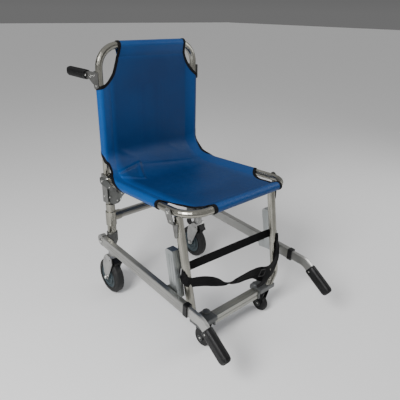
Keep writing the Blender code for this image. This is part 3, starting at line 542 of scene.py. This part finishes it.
for (a, b, height, width) in (
        ((-0.19, 0.188, 0.478), (-0.077, 0.216, 0.49), 0.008, 0.0045),
        ((-0.077, 0.216, 0.49), (-0.104, 0.136, 0.474), 0.0072, 0.0045),
        ((-0.104, 0.136, 0.474), (-0.19, 0.182, 0.478), 0.0072, 0.0045),
        ((-0.077, 0.21, 0.485), (0.171, 0.165, 0.478), 0.0026, 0.006),
        ((-0.15, 0.06, 0.476), (-0.06, 0.1, 0.474), 0.001, 0.012),
        ((0.08, 0.215, 0.54), (0.15, 0.19, 0.5), 0.0014, 0.008),
        ((-0.15, 0.232, 0.56), (-0.08, 0.222, 0.52), 0.0014, 0.008)):
    CREASES.append((pattern(*a), pattern(*b), height, width))
CREASES.append(((-0.2, FRONT_SEAM - 0.002), (0.2, FRONT_SEAM - 0.002), 0.0006, 0.0035))

TOP_END = -(SLEEVE + HEM)
FRONT_END = FRONT_SEAM + SLEEVE + HEM
SIDE_END = FOLD_Q + SLEEVE + HEM


def seat_s(y):
    """Running length at a place along the flat of the seat."""
    return BEND_END + (BEND_FRONT_Y - y) * math.sqrt(1 + SEAT_SLOPE ** 2)


def back_s(z):
    """Running length at a height on the flat of the back."""
    return TOP_SEAM_Z - z


def bend_s(place):
    """Running length at a place (y, z) in the bend."""
    return nearest_s(*place)


def front_s(past):
    """Running length at a distance past the front seam, round the front of the seat tube."""
    return FRONT_SEAM + past


def edge(along, *places):
    """Pattern points for pairs of (across, place along); an across above 1 is an angle round the side tube."""
    return [(round_tube(a) if a > 1 else a, along(b)) for a, b in places]


def cut_outs(side, *edges):
    """Smooth curves through the edges cut into one side of the sheet, kept exact at both ends."""
    curves = []
    for points in edges:
        dense = smooth_path([(*p, 0) for p in points[1:-1]], 5)
        dense = [points[0], *((p.x, p.y) for p in dense), points[-1]]
        curves.append([(side * q, s) for q, s in dense])
    return curves


# on each side: top corner, waist, front corner
LEFT_CUTS = cut_outs(
    -1,
    [(0.127, s) for s in (TOP_END, -0.084, -0.06, -0.036)]
    + edge(back_s, (0.1278, 0.88), (0.131, 0.862), (0.137, 0.842), (0.1475, 0.8145), (0.1635, 0.794),
           (0.185, 0.782),
           (40, 0.7765), (90, 0.7745), (165, 0.7735), (SIDE_END, 0.773)),
    edge(back_s, (SIDE_END, 0.562), (150, 0.556), (85, 0.541), (48, 0.519))
    + edge(bend_s, (0.199, (0.222, 0.505)), (0.1935, (0.212, 0.488)), (0.1935, (0.196, 0.478)))
    + edge(seat_s, (15, 0.172), (62, 0.142), (105, 0.116), (150, 0.09), (SIDE_END, 0.07)),
    edge(seat_s, (SIDE_END, -0.104), (165, -0.104), (110, -0.1035), (30, -0.1015), (0.18, -0.1105),
         (0.166, -0.126),
         (0.156, -0.1516), (0.1495, -0.174), (0.142, -0.189))
    + edge(front_s, (0.131, 0.001), (0.119, 0.012), (0.1146, 0.03), (0.114, 0.055), (0.114, 0.08))
    + [(0.114, FRONT_END)])
RIGHT_CUTS = cut_outs(
    1,
    [(0.149, s) for s in (TOP_END, -0.084, -0.06, -0.036)]
    + edge(back_s, (0.15, 0.89), (0.1535, 0.872), (0.1645, 0.84), (0.182, 0.812), (15, 0.793), (70, 0.787),
           (165, 0.786), (SIDE_END, 0.785)),
    edge(back_s, (SIDE_END, 0.592), (150, 0.588), (95, 0.575), (70, 0.556), (48, 0.53))
    + edge(bend_s, (24, (0.214, 0.509)), (0.1975, (0.2, 0.492)), (0.1965, (0.186, 0.482)))
    + edge(seat_s, (15, 0.165), (62, 0.142), (105, 0.116), (150, 0.09), (SIDE_END, 0.07)),
    edge(seat_s, (SIDE_END, -0.086), (165, -0.086), (90, -0.0865), (20, -0.09), (0.179, -0.104),
         (0.1625, -0.126),
         (0.1535, -0.151), (0.1535, -0.174), (0.153, -0.194))
    + edge(front_s, (0.149, 0.012), (0.147, 0.034), (0.147, 0.055), (0.147, 0.08))
    + [(0.147, FRONT_END)])


def cut_sheet():
    """The flat sheet as one outline, sliced by lines close enough to follow every fold."""
    outline = [p for curve in RIGHT_CUTS for p in curve]
    outline += [p for curve in reversed(LEFT_CUTS) for p in reversed(curve)]
    bm = bmesh.new()
    bm.faces.new([bm.verts.new((q, s, 0)) for q, s in outline])
    coarse = 1.0

    def lines(start, end, gap):
        count = max(1, round((end - start) / (gap * coarse)))
        return [start + (end - start) * (k + 0.5) / count for k in range(count)]

    def slice_at(place, square_to):
        geom = bm.verts[:] + bm.edges[:] + bm.faces[:]
        bmesh.ops.bisect_plane(bm, geom=geom, dist=1e-6, plane_co=place, plane_no=square_to)

    # finest where the cloth turns round a tube or through the bend
    wrapped = SLANT + WRAP
    along = lines(TOP_END, -SLEEVE, 0.004) + lines(-SLEEVE, -wrapped, 0.008) + lines(-wrapped, -SLANT, 0.0024)
    along += [-SLEEVE + 0.0001, -wrapped, -SLANT, -0.00003] + lines(-SLANT, 0, 0.006) + lines(0, 0.3, 0.008)
    along += lines(0.3, BEND_END + 0.03, 0.0036) + lines(BEND_END + 0.03, FRONT_SEAM, 0.0075)
    f = FRONT_SEAM
    off_tube = f + SLANT + WRAP
    along += lines(f, f + SLANT, 0.006) + lines(f + SLANT, off_tube, 0.0024)
    along += lines(off_tube, f + SLEEVE, 0.008)
    along += [f + 0.00003, f + SLANT, off_tube, f + SLEEVE - 0.0001, f + SLEEVE + 0.003]
    on_tube = FOLD_Q + SLANT
    off_tube = FOLD_Q + SLANT + WRAP
    across = lines(0, FOLD_Q, 0.0046) + lines(FOLD_Q, on_tube, 0.0045) + lines(on_tube, off_tube, 0.0024)
    across += lines(off_tube, FOLD_Q + SLEEVE, 0.008)
    across += [FOLD_Q + 0.00002, on_tube, off_tube, FOLD_Q + SLEEVE - 0.0001]
    for s in sorted(along):
        slice_at((0, s + 1.3e-5, 0), (0, 1, 0))
    for a in sorted(across):
        for q in (a, -a):
            slice_at((q + 1.7e-5, 0, 0), (1, 0, 0))
    bmesh.ops.remove_doubles(bm, verts=bm.verts, dist=2e-5)
    area = sum(face.calc_area() for face in bm.faces)
    for v in bm.verts:
        v.co = sling_point(v.co.x, v.co.y)
    bmesh.ops.recalc_face_normals(bm, faces=bm.faces)
    data = bpy.data.meshes.new("sling_cloth")
    bm.to_mesh(data)
    bm.free()
    return data, area


def sling_frame(q, s):
    """Cloth point and surface normal at a pattern point."""
    e = 0.0006
    here = sling_point(q, s)
    across = sling_point(q + e, s) - sling_point(q - e, s)
    along = sling_point(q, s + e) - sling_point(q, s - e)
    normal = across.cross(along)
    return here, normal.normalized() if normal.length > 1e-12 else Vector((0, 0, 1))


def bend_to_seat(made):
    """Bake the piece's placement into its mesh."""
    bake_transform(made)


sling_data, sling_area = cut_sheet()
sling = placed("sling_cloth", sling_data)
sling_data.materials.append(NYLON)
sling_data.polygons.foreach_set("use_smooth", [True] * len(sling_data.polygons))
thicken = sling.modifiers.new("cloth", "SOLIDIFY")
thicken.thickness = CLOTH
thicken.offset = 0
thicken.use_even_offset = False
bend_to_seat(sling)
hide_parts("back_sling", "seat_sling")


def resampled(curve, gap):
    """Points along a line at even spacing."""
    points = [Vector(p) for p in curve]
    total = sum((b - a).length for a, b in zip(points, points[1:]))
    count = max(2, round(total / gap))
    out, i, done = [], 0, 0.0
    for k in range(count + 1):
        want = total * k / count
        while i < len(points) - 2 and done + (points[i + 1] - points[i]).length < want:
            done += (points[i + 1] - points[i]).length
            i += 1
        length = (points[i + 1] - points[i]).length
        out.append(points[i].lerp(points[i + 1], min(1.0, (want - done) / max(length, 1e-9))))
    return out


def binding(name, curve, inward):
    """Tape folded over one cut edge: both legs and the fold."""
    width = 0.0085
    points = resampled(curve, 0.0026)
    leg = [(width, 0.0005), (width, 0.0011), (width * 0.75, 0.00135), (width * 0.5, 0.0013),
           (width * 0.2, 0.00135),
           (0, 0.0013), (-0.0009, 0.0008)]
    section = [*leg, (-0.0012, 0), *((depth, -lift) for depth, lift in reversed(leg))]
    rings = []
    for k, p in enumerate(points):
        ahead = points[min(k + 1, len(points) - 1)] - points[max(k - 1, 0)]
        into = Vector((-ahead.y, ahead.x)).normalized() * inward
        ring = []
        for depth, lift in section:
            spot = p + into * depth
            here, normal = sling_frame(spot.x, spot.y)
            ring.append(here + normal * lift)
        rings.append(ring)
    made = shell(name, rings, TAPE, None, 50)
    bend_to_seat(made)
    return made


STITCH_GAP = 0.0042
STITCH_LENGTH = 0.0027
STITCH_LIFT = 0.0006
THREAD_R = 0.00032


def thread_line(name, curve):
    """Run of stitches, each a small closed pill lying on the cloth."""
    points = resampled(curve, STITCH_GAP)
    vertices, faces = [], []
    for a, after in zip(points, points[1:]):
        b = a.lerp(after, min(1.0, STITCH_LENGTH / max((after - a).length, 1e-6)))
        (pa, na), (pb, nb) = sling_frame(a.x, a.y), sling_frame(b.x, b.y)
        along = (pb - pa).normalized()
        pa, pb = pa + na * STITCH_LIFT, pb + nb * STITCH_LIFT
        wide = along.cross(na).normalized() * THREAD_R
        tall = na * THREAD_R
        f = len(vertices)
        vertices += [pa - along * THREAD_R * 0.5]
        for p, inset in ((pa, along * THREAD_R), (pb, -along * THREAD_R)):
            vertices += [p + inset + wide, p + inset + tall, p + inset - wide, p + inset - tall]
        vertices += [pb + along * THREAD_R * 0.5]
        faces += [(f, f + 1 + k, f + 1 + (k + 1) % 4) for k in range(4)]
        faces += [(f + 1 + k, f + 5 + k, f + 5 + (k + 1) % 4, f + 1 + (k + 1) % 4) for k in range(4)]
        faces += [(f + 9, f + 5 + (k + 1) % 4, f + 5 + k) for k in range(4)]
    made = piece(name, vertices, faces, THREAD, None)
    bend_to_seat(made)
    return made


for word, side, cuts in (("right", 1, RIGHT_CUTS), ("left", -1, LEFT_CUTS)):
    for corner, curve in zip(("top", "waist", "front"), cuts):
        binding(f"binding_{corner}_{word}", curve[1:-1], side)
    q = side * (FOLD_Q + 0.0012)
    seam_back = [(q, cuts[0][-1][1] + 0.012), (q, cuts[1][0][1] - 0.004)]
    seam_seat = [(q, seat_s(0.06)), (q, seat_s(-0.112))]
    for label, seam in (("back", seam_back), ("seat", seam_seat)):
        thread_line(f"seam_stitches_{label}_{word}", seam)
top_seam = [(LEFT_CUTS[0][2][0] + 0.012, -0.001), (RIGHT_CUTS[0][2][0] - 0.012, -0.001)]
front_seam = [(-0.098, FRONT_SEAM + 0.001), (0.146, FRONT_SEAM + 0.001)]
thread_line("seam_stitches_top", top_seam)
thread_line("seam_stitches_front", front_seam)


# ------ strap round the front legs

def leg_axis(z):
    """Distance out and y of the right front leg's axis at a height."""
    t = (0.4715 - z) / 0.3235
    return 0.2031 - 0.0088 * t, -0.1722 - 0.0585 * t


STRAP_WIDTH = 0.03
TAPE_FACE = [(-1, 0.4), (-0.93, 1), (-0.5, 0.85), (0, 1), (0.5, 0.85), (0.93, 1), (1, 0.4)]
TAPE_SECTION = [(-1, -0.4), *TAPE_FACE, *((u, -v) for u, v in reversed(TAPE_FACE[1:]))]


def ribbon(name, places, material, body, width=STRAP_WIDTH, thick=0.0017):
    """Tape through places of (point, direction across the tape, width share), its edges slightly rounded."""
    path = smooth_path([p for p, _, _ in places])
    wides = smooth_path([Vector(w).normalized() for _, w, _ in places])
    shares = smooth_path([(share, 0, 0) for _, _, share in places])
    rings = []
    for k, p in enumerate(path):
        tangent = (path[min(k + 1, len(path) - 1)] - path[max(k - 1, 0)]).normalized()
        wide = wides[k] - tangent * wides[k].dot(tangent)
        wide.normalize()
        up = tangent.cross(wide)
        a, b = width / 2 * shares[k].x, thick / 2
        rings.append([p + wide * (a * u) + up * (b * v) for u, v in TAPE_SECTION])
    return shell(name, rings, material, body, 60)


def round_leg(side, z, degrees, gap=0.0132):
    """Place on the strap's way round a front leg: 0 in front, 90 outside, 180 behind."""
    x, y = leg_axis(z)
    a = math.radians(degrees)
    return (side * (x + gap * math.sin(a)), y - gap * math.cos(a), z)


UP = (0, 0, 1)
loop = [
    (round_leg(1, 0.284, 75), UP, 1), (round_leg(1, 0.286, 120), UP, 1), (round_leg(1, 0.287, 165), UP, 1),
    ((0.17, -0.1885, 0.287), (0, 0.12, 1), 1), ((0.06, -0.186, 0.2895), (0, 0.2, 1), 0.98),
    ((-0.06, -0.186, 0.2935), (0, 0.2, 1), 0.96), ((-0.165, -0.1875, 0.2985), (0, 0.1, 1), 1),
    (round_leg(-1, 0.299, 165), UP, 1), (round_leg(-1, 0.297, 120), UP, 1), (round_leg(-1, 0.29, 85), UP, 1),
    (round_leg(-1, 0.277, 55, 0.0138), (0.1, 0, 1), 1), (round_leg(-1, 0.27, 15, 0.014), (0.2, 0, 1), 1),
    ((-0.17, -0.2235, 0.26), (0.2, 0.1, 1), 1.05), ((-0.14, -0.2225, 0.248), (0.3, 0.15, 1), 1.05),
    ((-0.112, -0.2235, 0.235), (0.3, 0.35, 1), 1.0), ((-0.086, -0.2245, 0.222), (0.2, 0.8, 0.7), 0.95),
    ((-0.064, -0.226, 0.211), (0.1, 1, 0.25), 0.98), ((-0.042, -0.228, 0.202), (0.0, 0.9, -0.5), 0.95),
    ((-0.018, -0.23, 0.196), (0.0, 0.45, -0.95), 0.98), ((0.012, -0.232, 0.193), (0.1, 0.2, -1), 1.1),
    ((0.044, -0.235, 0.193), (0.0, 0.15, -1), 1.15), ((0.076, -0.2385, 0.188), (-0.3, 0.15, -1), 1.15),
    ((0.102, -0.243, 0.17), (-0.5, 0.2, -0.9), 1.15), ((0.126, -0.2475, 0.156), (-0.2, 0.3, -1), 1.1),
    ((0.15, -0.249, 0.162), (0.4, 0.2, -0.9), 1.05), ((0.168, -0.2465, 0.184), (0.8, 0.1, -0.6), 1.0),
    ((0.183, -0.2415, 0.209), (0.9, 0.0, -0.4), 1.0), (round_leg(1, 0.232, 10, 0.015), (0.9, 0, -0.4), 0.95),
    (round_leg(1, 0.256, 45, 0.015), (0.75, 0.2, -0.65), 1),
    (round_leg(1, 0.274, 80, 0.015), (0.2, 0.3, -1), 1), (round_leg(1, 0.28, 115, 0.015), (0, 0, -1), 1)]
strap = ribbon("leg_strap_webbing", loop, STRAP, "front_legs")
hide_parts("leg_strap")
tail_end = ribbon("leg_strap_tail", [
    (round_leg(1, 0.292, 40, 0.0165), (0.6, 0.2, -0.8), 0.7),
    (round_leg(1, 0.262, 8, 0.017), (0.8, 0.2, -0.5), 0.75), ((0.176, -0.2485, 0.23), (0.8, 0.2, -0.6), 0.9),
    ((0.15, -0.252, 0.204), (0.6, 0.2, -0.8), 1.0), ((0.12, -0.253, 0.196), (0.2, 0.25, -1), 1.15),
    ((0.086, -0.249, 0.203), (0.05, 0.3, -1), 1.2), ((0.052, -0.244, 0.206), (0, 0.25, -1), 1.1),
    ((0.02, -0.239, 0.2035), (0, 0.3, -1), 0.95),
    ((-0.008, -0.235, 0.199), (0, 0.4, -1), 0.8)], STRAP, "front_legs")
fold_over = ribbon("leg_strap_fold", [
    ((0.064, -0.246, 0.212), (0.5, 0.2, -0.8), 0.9), ((0.09, -0.253, 0.21), (0.3, 0.35, -0.9), 1.0),
    ((0.112, -0.258, 0.19), (-0.5, 0.3, -0.8), 1.1), ((0.116, -0.257, 0.164), (-0.9, 0.2, -0.4), 1.1),
    ((0.104, -0.251, 0.144), (-0.9, 0.1, 0.1), 1.0),
    ((0.088, -0.244, 0.135), (-0.8, 0.0, 0.5), 0.85)], STRAP, "front_legs")


def frame_ring(name, centre, wide, tall, size, bar, material, body):
    """Rectangular ring of four bars."""
    wide, tall = Vector(wide).normalized(), Vector(tall).normalized()
    out = wide.cross(tall).normalized()
    w, h = size
    corner = [(-w, -h), (w, -h), (w, h), (-w, h)]
    rings = []
    for k, (u, v) in enumerate(corner):
        inward = Vector((-math.copysign(1, u), -math.copysign(1, v)))
        ring = []
        for a, b in ((0, -1), (1, -1), (1, 1), (0, 1)):
            ring.append(Vector(centre) + wide * (u + inward.x * a * bar) + tall * (v + inward.y * a * bar)
                        + out * b * bar * 0.6)
        rings.append(ring)
    return shell(name, rings, material, body, 30, closed=True)


slider = frame_ring("leg_strap_slider", (0.094, -0.2555, 0.196), (1, 0, -0.3), (0.3, -0.2, 1),
                    (0.015, 0.0155), 0.0032, PLASTIC, "front_legs")


# ------ grips

def tree_of(name):
    """Search tree and vertices of a CAD node."""
    node = NODES[name]
    world = node.matrix_world
    vertices = [world @ v.co for v in node.data.vertices]
    return BVHTree.FromPolygons(vertices, [tuple(f.vertices) for f in node.data.polygons]), vertices


def long_axis(vertices):
    """Middle of the points and the direction of their longest spread."""
    centre = sum(vertices, Vector()) / len(vertices)
    axis = Vector((0.02, 1.0, 0.3))
    for _ in range(40):
        total = Vector()
        for v in vertices:
            total += (v - centre) * (v - centre).dot(axis)
        axis = total.normalized()
    return centre, axis


def section(tree, centre, axis):
    """Outline of a solid cut square to its axis, found from outside inwards."""
    count, reach = 36, 0.05
    _, u, v = basis(axis)
    points = []
    for k in range(count):
        t = 2 * math.pi * k / count
        out = u * math.cos(t) + v * math.sin(t)
        hit = tree.ray_cast(centre + out * reach, -out, reach)
        if hit[0] is None:
            return None
        points.append((hit[0], out))
    return points


def ribs_round(name, node, body, spans, count, wide):
    """Fine moulded ribs round a grip, all in one piece, each a closed band."""
    lift = 0.0005
    tree, vertices = tree_of(node)
    centre, axis = long_axis(vertices)
    along = [(v - centre).dot(axis) for v in vertices]
    low, high = min(along), max(along)
    all_vertices, all_faces = [], []
    for k in range(count):
        at = low + (high - low) * (spans[0] + (spans[1] - spans[0]) * k / (count - 1))
        outline = section(tree, centre + axis * at, axis)
        if outline is None:
            continue
        rings = []
        for a, b in ((-wide, -0.0006), (-wide * 0.6, lift * 0.8), (0, lift), (wide * 0.6, lift * 0.8),
                     (wide, -0.0006)):
            rings.append([p + out * b + axis * a for p, out in outline])
        n, first = len(outline), len(all_vertices)
        all_vertices += [p for ring in rings for p in ring]
        for i in range(len(rings)):
            a, b = first + i * n, first + ((i + 1) % len(rings)) * n
            all_faces += [(a + j, a + (j + 1) % n, b + (j + 1) % n, b + j) for j in range(n)]
    return sharp(piece(name, all_vertices, all_faces, GRIP, body), 50)


for word, side in SIDES.items():
    tree, vertices = tree_of(f"front_grip_{word}")
    middle, axis = long_axis(vertices)
    if axis.y > 0:
        axis = -axis
    reach = max((v - middle).dot(axis) for v in vertices)
    top = min((v - middle).dot(axis) for v in vertices)
    ribs_round(f"front_grip_ribs_{word}", f"front_grip_{word}", f"front_handle_{word}",
               (0.2, 0.94) if long_axis(vertices)[1].y < 0 else (0.06, 0.8), 26, 0.0011)
    for inner in (-1, 1):
        spot = middle + axis * (top + 0.009)
        hit = tree.ray_cast(spot + Vector((inner * 0.05, 0, 0)), Vector((-inner, 0, 0)), 0.05)
        if hit[0] is not None:
            screw_head(f"front_grip_screw_{word}_{'outer' if inner == side else 'inner'}",
                       hit[0] + Vector((inner * 0.0002, 0, 0)), (inner, 0, 0), 0.003, f"front_handle_{word}")
    cap = [(-0.002, 0.0105), (0.0004, 0.0105), (0.001, 0.0098), (0.0012, 0.005), (0.0006, 0.004),
           (0.0005, 0.0004)]
    turned(f"front_grip_cap_{word}", cap,
           middle + axis * (reach - 0.0004), axis, PLASTIC, f"front_handle_{word}", 32)
    ribs_round(f"rear_grip_ribs_{word}", f"rear_grip_{word}", f"rear_handle_{word}", (0.1, 0.93), 28, 0.0012)


# ------ bolts, rivets and washers

for word, side in SIDES.items():
    handle, legs, casters = f"rear_handle_{word}", "front_legs", f"caster_{word}"
    # (name, x, y, z, 1 outwards or -1 inwards, radius, body)
    for label, x, y, z, facing, radius, body in (
            ("rear_handle_rivet", 0.2112, 0.2985, 0.8065, 1, 0.0038, handle),
            ("rear_handle_pivot", 0.2095, 0.266, 0.806, 1, 0.0052, "back_frame"),
            ("rear_bracket_rivet_upper", 0.2095, 0.2475, 0.81, 1, 0.0034, "back_frame"),
            ("rear_bracket_rivet_lower", 0.2095, 0.235, 0.779, 1, 0.0038, "back_frame"),
            ("seat_pivot_nut", 0.2122, 0.212, 0.466, 1, 0.0062, "back_frame"),
            ("hinge_bracket_bolt", 0.2095, 0.238, 0.396, 1, 0.0045, "back_frame"),
            ("hinge_bracket_rivet", 0.2095, 0.2, 0.404, 1, 0.0034, "back_frame"),
            ("rail_pivot_cap", 0.2547, 0.214, 0.2407, 1, 0.0052, "back_frame"),
            ("leg_pivot_bolt", 0.231, -0.16, 0.4869, 1, 0.0058, legs),
            ("leg_plate_rivet", 0.231, -0.172, 0.464, 1, 0.0034, legs),
            ("caster_axle_nut", 0.2355, 0.2305, 0.069, 1, 0.0066, casters),
            ("caster_axle_head", 0.1815, 0.2305, 0.069, -1, 0.0066, casters),
            ("front_axle_outer", 0.1535, -0.2205, 0.032, 1, 0.0042, legs),
            ("front_axle_inner", 0.1265, -0.2205, 0.032, -1, 0.0042, legs)):
        screw_head(f"{label}_{word}", (side * x, y, z), (side * facing, 0, 0), radius, body,
                   hexagon=label == "caster_axle_nut")
    # painted shade: a black ring on both faces of the tyre stands for the shaded gap round the hub
    for face in (-1, 1):
        at = (side * 0.2085 + face * 0.0175, 0.2305, 0.069)
        end = f"{word}_{'outer' if face == side else 'inner'}"
        turned(f"caster_gap_painted_shade_{end}",
               [(-0.003, 0.0465), (0.0003, 0.047), (0.0007, 0.049), (0.0003, 0.0512), (-0.003, 0.0516)],
               at, (face, 0, 0), RING, f"caster_wheel_{word}", 56, closed=True)
        turned(f"caster_hub_step_{end}",
               [(-0.002, 0.028), (0.0006, 0.0284), (0.001, 0.03), (0.0006, 0.0316), (-0.002, 0.032)],
               at, (face, 0, 0), HUB, f"caster_wheel_{word}", 48, closed=True)
        turned(f"front_fork_ring_{end}",
               [(-0.0015, 0.0078), (0.0008, 0.008), (0.0011, 0.009), (0.0008, 0.01), (-0.0015, 0.0102)],
               (side * 0.14 + face * 0.0135, -0.2205, 0.032), (face, 0, 0), BLOCK, legs, 40,
               closed=True)
    # rounded boss at the back of the foot block, where the cross bar's bolt is let in
    turned(f"block_boss_{word}",
           [(-0.001, 0.014), (0.002, 0.0139), (0.0046, 0.0122), (0.0058, 0.008), (0.0062, 0.0004)],
           (side * 0.119, -0.211, 0.1133), (0, 0, 1), BLOCK, legs, 36)


# ------ lines along the extrusions

def raised_line(name, node, body, start, end, look, width, lift, material, steps=24):
    """Strip lying on a node's face between two places, found by looking at the face along a direction."""
    tree, _ = tree_of(node)
    look = Vector(look).normalized()
    start, end = Vector(start), Vector(end)
    spots = []
    for k in range(steps + 1):
        p = start.lerp(end, k / steps)
        hit = tree.ray_cast(p - look * 0.03, look, 0.06)
        if hit[0] is not None:
            spots.append(hit[0])
    if len(spots) < 3:
        return None
    rings = []
    for k, p in enumerate(spots):
        tangent = (spots[min(k + 1, len(spots) - 1)] - spots[max(k - 1, 0)]).normalized()
        up = -look
        wide = tangent.cross(up).normalized() * width / 2
        rings.append([p - wide - up * 0.0006, p - wide * 0.8 + up * lift, p + wide * 0.8 + up * lift,
                      p + wide - up * 0.0006])
    return shell(name, rings, material, body, 25)


for word, side in SIDES.items():
    brace, rail = f"leg_brace_{word}", f"rail_{word}"
    # ribs down the brace that stands behind each front leg
    for k, share in enumerate((0.14, 0.4, 0.66, 0.9)):
        x = side * (0.206 + (0.2285 - 0.206) * share)  # between the brace's inner and outer edges
        raised_line(f"brace_rib_{word}_{k + 1}", brace, "front_legs", (x, -0.19, 0.36), (x, -0.222, 0.18),
                    (0, 1, 0), 0.0017, 0.0009, BRACE)
    for k, y in enumerate((-0.008, 0.004, 0.016)):
        raised_line(f"brace_side_rib_{word}_{k + 1}", brace, "front_legs", (side * 0.235, -0.176 + y, 0.35),
                    (side * 0.235, -0.197 + y, 0.205), (-side, 0, 0), 0.0018, 0.0009, BRACE)
    # beads along the rail's outer face, dark strip along its underside
    for k, dz in enumerate((-0.0045, 0.0045)):
        raised_line(f"rail_bead_{word}_{k + 1}", rail, "rails", (side * 0.252, 0.172, 0.237 + dz),
                    (side * 0.252, -0.236, 0.2145 + dz), (-side, 0, 0), 0.0014, 0.00045, RAIL,
                    40)
    raised_line(f"rail_underside_strip_{word}", rail, "rails", (side * 0.2412, 0.165, 0.2),
                (side * 0.2412, -0.236, 0.18), (0, 0, 1), 0.009, 0.001, RING, 40)

# lug with an eye at the right caster's shoulder, and the tab that holds it
turned("caster_lug_right",
       [(-0.003, 0.0042), (-0.003, 0.0135), (-0.002, 0.0145), (0.002, 0.0145), (0.003, 0.0135),
        (0.003, 0.0042)],
       (0.1775, 0.227, 0.176), (1, 0, 0), PLASTIC, "caster_right", 36, closed=True)
ribbon("caster_lug_tab_right",
       [(p, (0, 1, 0), 1) for p in ((0.178, 0.2265, 0.1885), (0.185, 0.2225, 0.1935), (0.196, 0.217, 0.1965))],
       PLASTIC, "caster_right", width=0.014, thick=0.005)


# ------ cheek over each seat arm

def flat_plate(name, outline, x_from, x_to, material, body):
    """Plate square to X through an outline of (y, z)."""
    rings = [[Vector((x, y, z)) for y, z in outline] for x in (x_from, x_to)]
    return shell(name, rings, material, body, 30)


def arm_outline(word):
    """Hull of a seat arm seen from the side, drawn in a little."""
    flat = [Vector((p.y, p.z)) for p in tree_of(f"seat_arm_{word}")[1]]
    hull = [flat[k] for k in geometry.convex_hull_2d(flat)]
    middle = sum(hull, Vector((0, 0))) / len(hull)
    return [middle + (p - middle) * 0.965 for p in hull]


for word, side in SIDES.items():
    flat_plate(f"seat_arm_cheek_{word}", arm_outline(word), side * 0.2038, side * 0.2046, DARK_PLATE,
               "seat_frame")
    for label, y, z, radius in (
            ("upper", 0.126, 0.444, 0.0034), ("lower", 0.157, 0.406, 0.0034), ("middle", 0.134, 0.42, 0.0026)):
        screw_head(f"seat_arm_rivet_{label}_{word}", (side * 0.2046, y, z), (side, 0, 0), radius, "seat_frame")
    # painted shade: a black sheet on each seat arm stands for the dark seen through its small window
    flat_plate(f"seat_arm_window_{word}", [(0.144, 0.435), (0.162, 0.437), (0.156, 0.451)], side * 0.2044,
               side * 0.2049, RING, "seat_frame")
    # hinge ear over the seat tube's flattened end, round about the pivot and tapering forward
    ear = [(0.212 + 0.015 * math.cos(math.radians(t)), 0.466 + 0.015 * math.sin(math.radians(t)))
           for t in range(-100, 81, 15)]
    ear += [(0.19, 0.482), (0.15, 0.469), (0.135, 0.46), (0.135, 0.45), (0.155, 0.447)]
    flat_plate(f"seat_tube_ear_{word}", ear, side * 0.2275, side * 0.2287, DARK_PLATE, "seat_frame")
    screw_head(f"seat_tube_ear_bolt_{word}", (side * 0.2287, 0.212, 0.466), (side, 0, 0), 0.0052, "seat_frame")
    screw_head(f"seat_tube_ear_rivet_{word}", (side * 0.2287, 0.164, 0.458), (side, 0, 0), 0.003, "seat_frame")


# ------ floor and light

floor_data = bpy.data.meshes.new("floor")
floor_data.from_pydata([(-30, -30, 0), (30, -30, 0), (30, 30, 0), (-30, 30, 0)], [], [(0, 1, 2, 3)])
floor = placed("floor", floor_data)
floor_data.materials.append(new_material("floor_white", (0.86, 0.86, 0.86), 0.9))

# sky brighter overhead, with a darker band low down for the tubes to mirror
world = bpy.data.worlds.new("studio")
world.use_nodes = True
bpy.context.scene.world = world
tree = world.node_tree
background = tree.nodes["Background"]
background.inputs["Strength"].default_value = 0.52
sky_coordinates = tree.nodes.new("ShaderNodeTexCoord")
split = tree.nodes.new("ShaderNodeSeparateXYZ")
ramp = tree.nodes.new("ShaderNodeValToRGB")
tree.links.new(sky_coordinates.outputs["Generated"], split.inputs["Vector"])
tree.links.new(split.outputs["Z"], ramp.inputs["Fac"])
tree.links.new(ramp.outputs["Color"], background.inputs["Color"])
stops = ramp.color_ramp.elements
stops[0].position, stops[0].color = 0.0, (0.3, 0.3, 0.3, 1)
stops[1].position, stops[1].color = 1.0, (1.0, 1.0, 1.0, 1)
for position, value in ((0.12, 0.18), (0.32, 0.45), (0.6, 1.0)):
    stop = stops.new(position)
    stop.color = (value, value, value, 1)


def soft_light(name, location, size, watts):
    """Rectangular light aimed at the middle of the chair."""
    lamp = bpy.data.lights.new(name, "AREA")
    lamp.shape = "RECTANGLE"
    lamp.size, lamp.size_y = size
    lamp.energy = watts
    made = placed(name, lamp)
    made.location = location
    made.rotation_euler = (Vector((0, 0, 0.45)) - Vector(location)).to_track_quat("-Z", "Y").to_euler()
    return made


key = soft_light("key", (-1.9, -0.7, 1.9), (0.9, 0.9), 78)
fill = soft_light("fill", (1.9, -0.7, 1.5), (1.2, 1.2), 14)
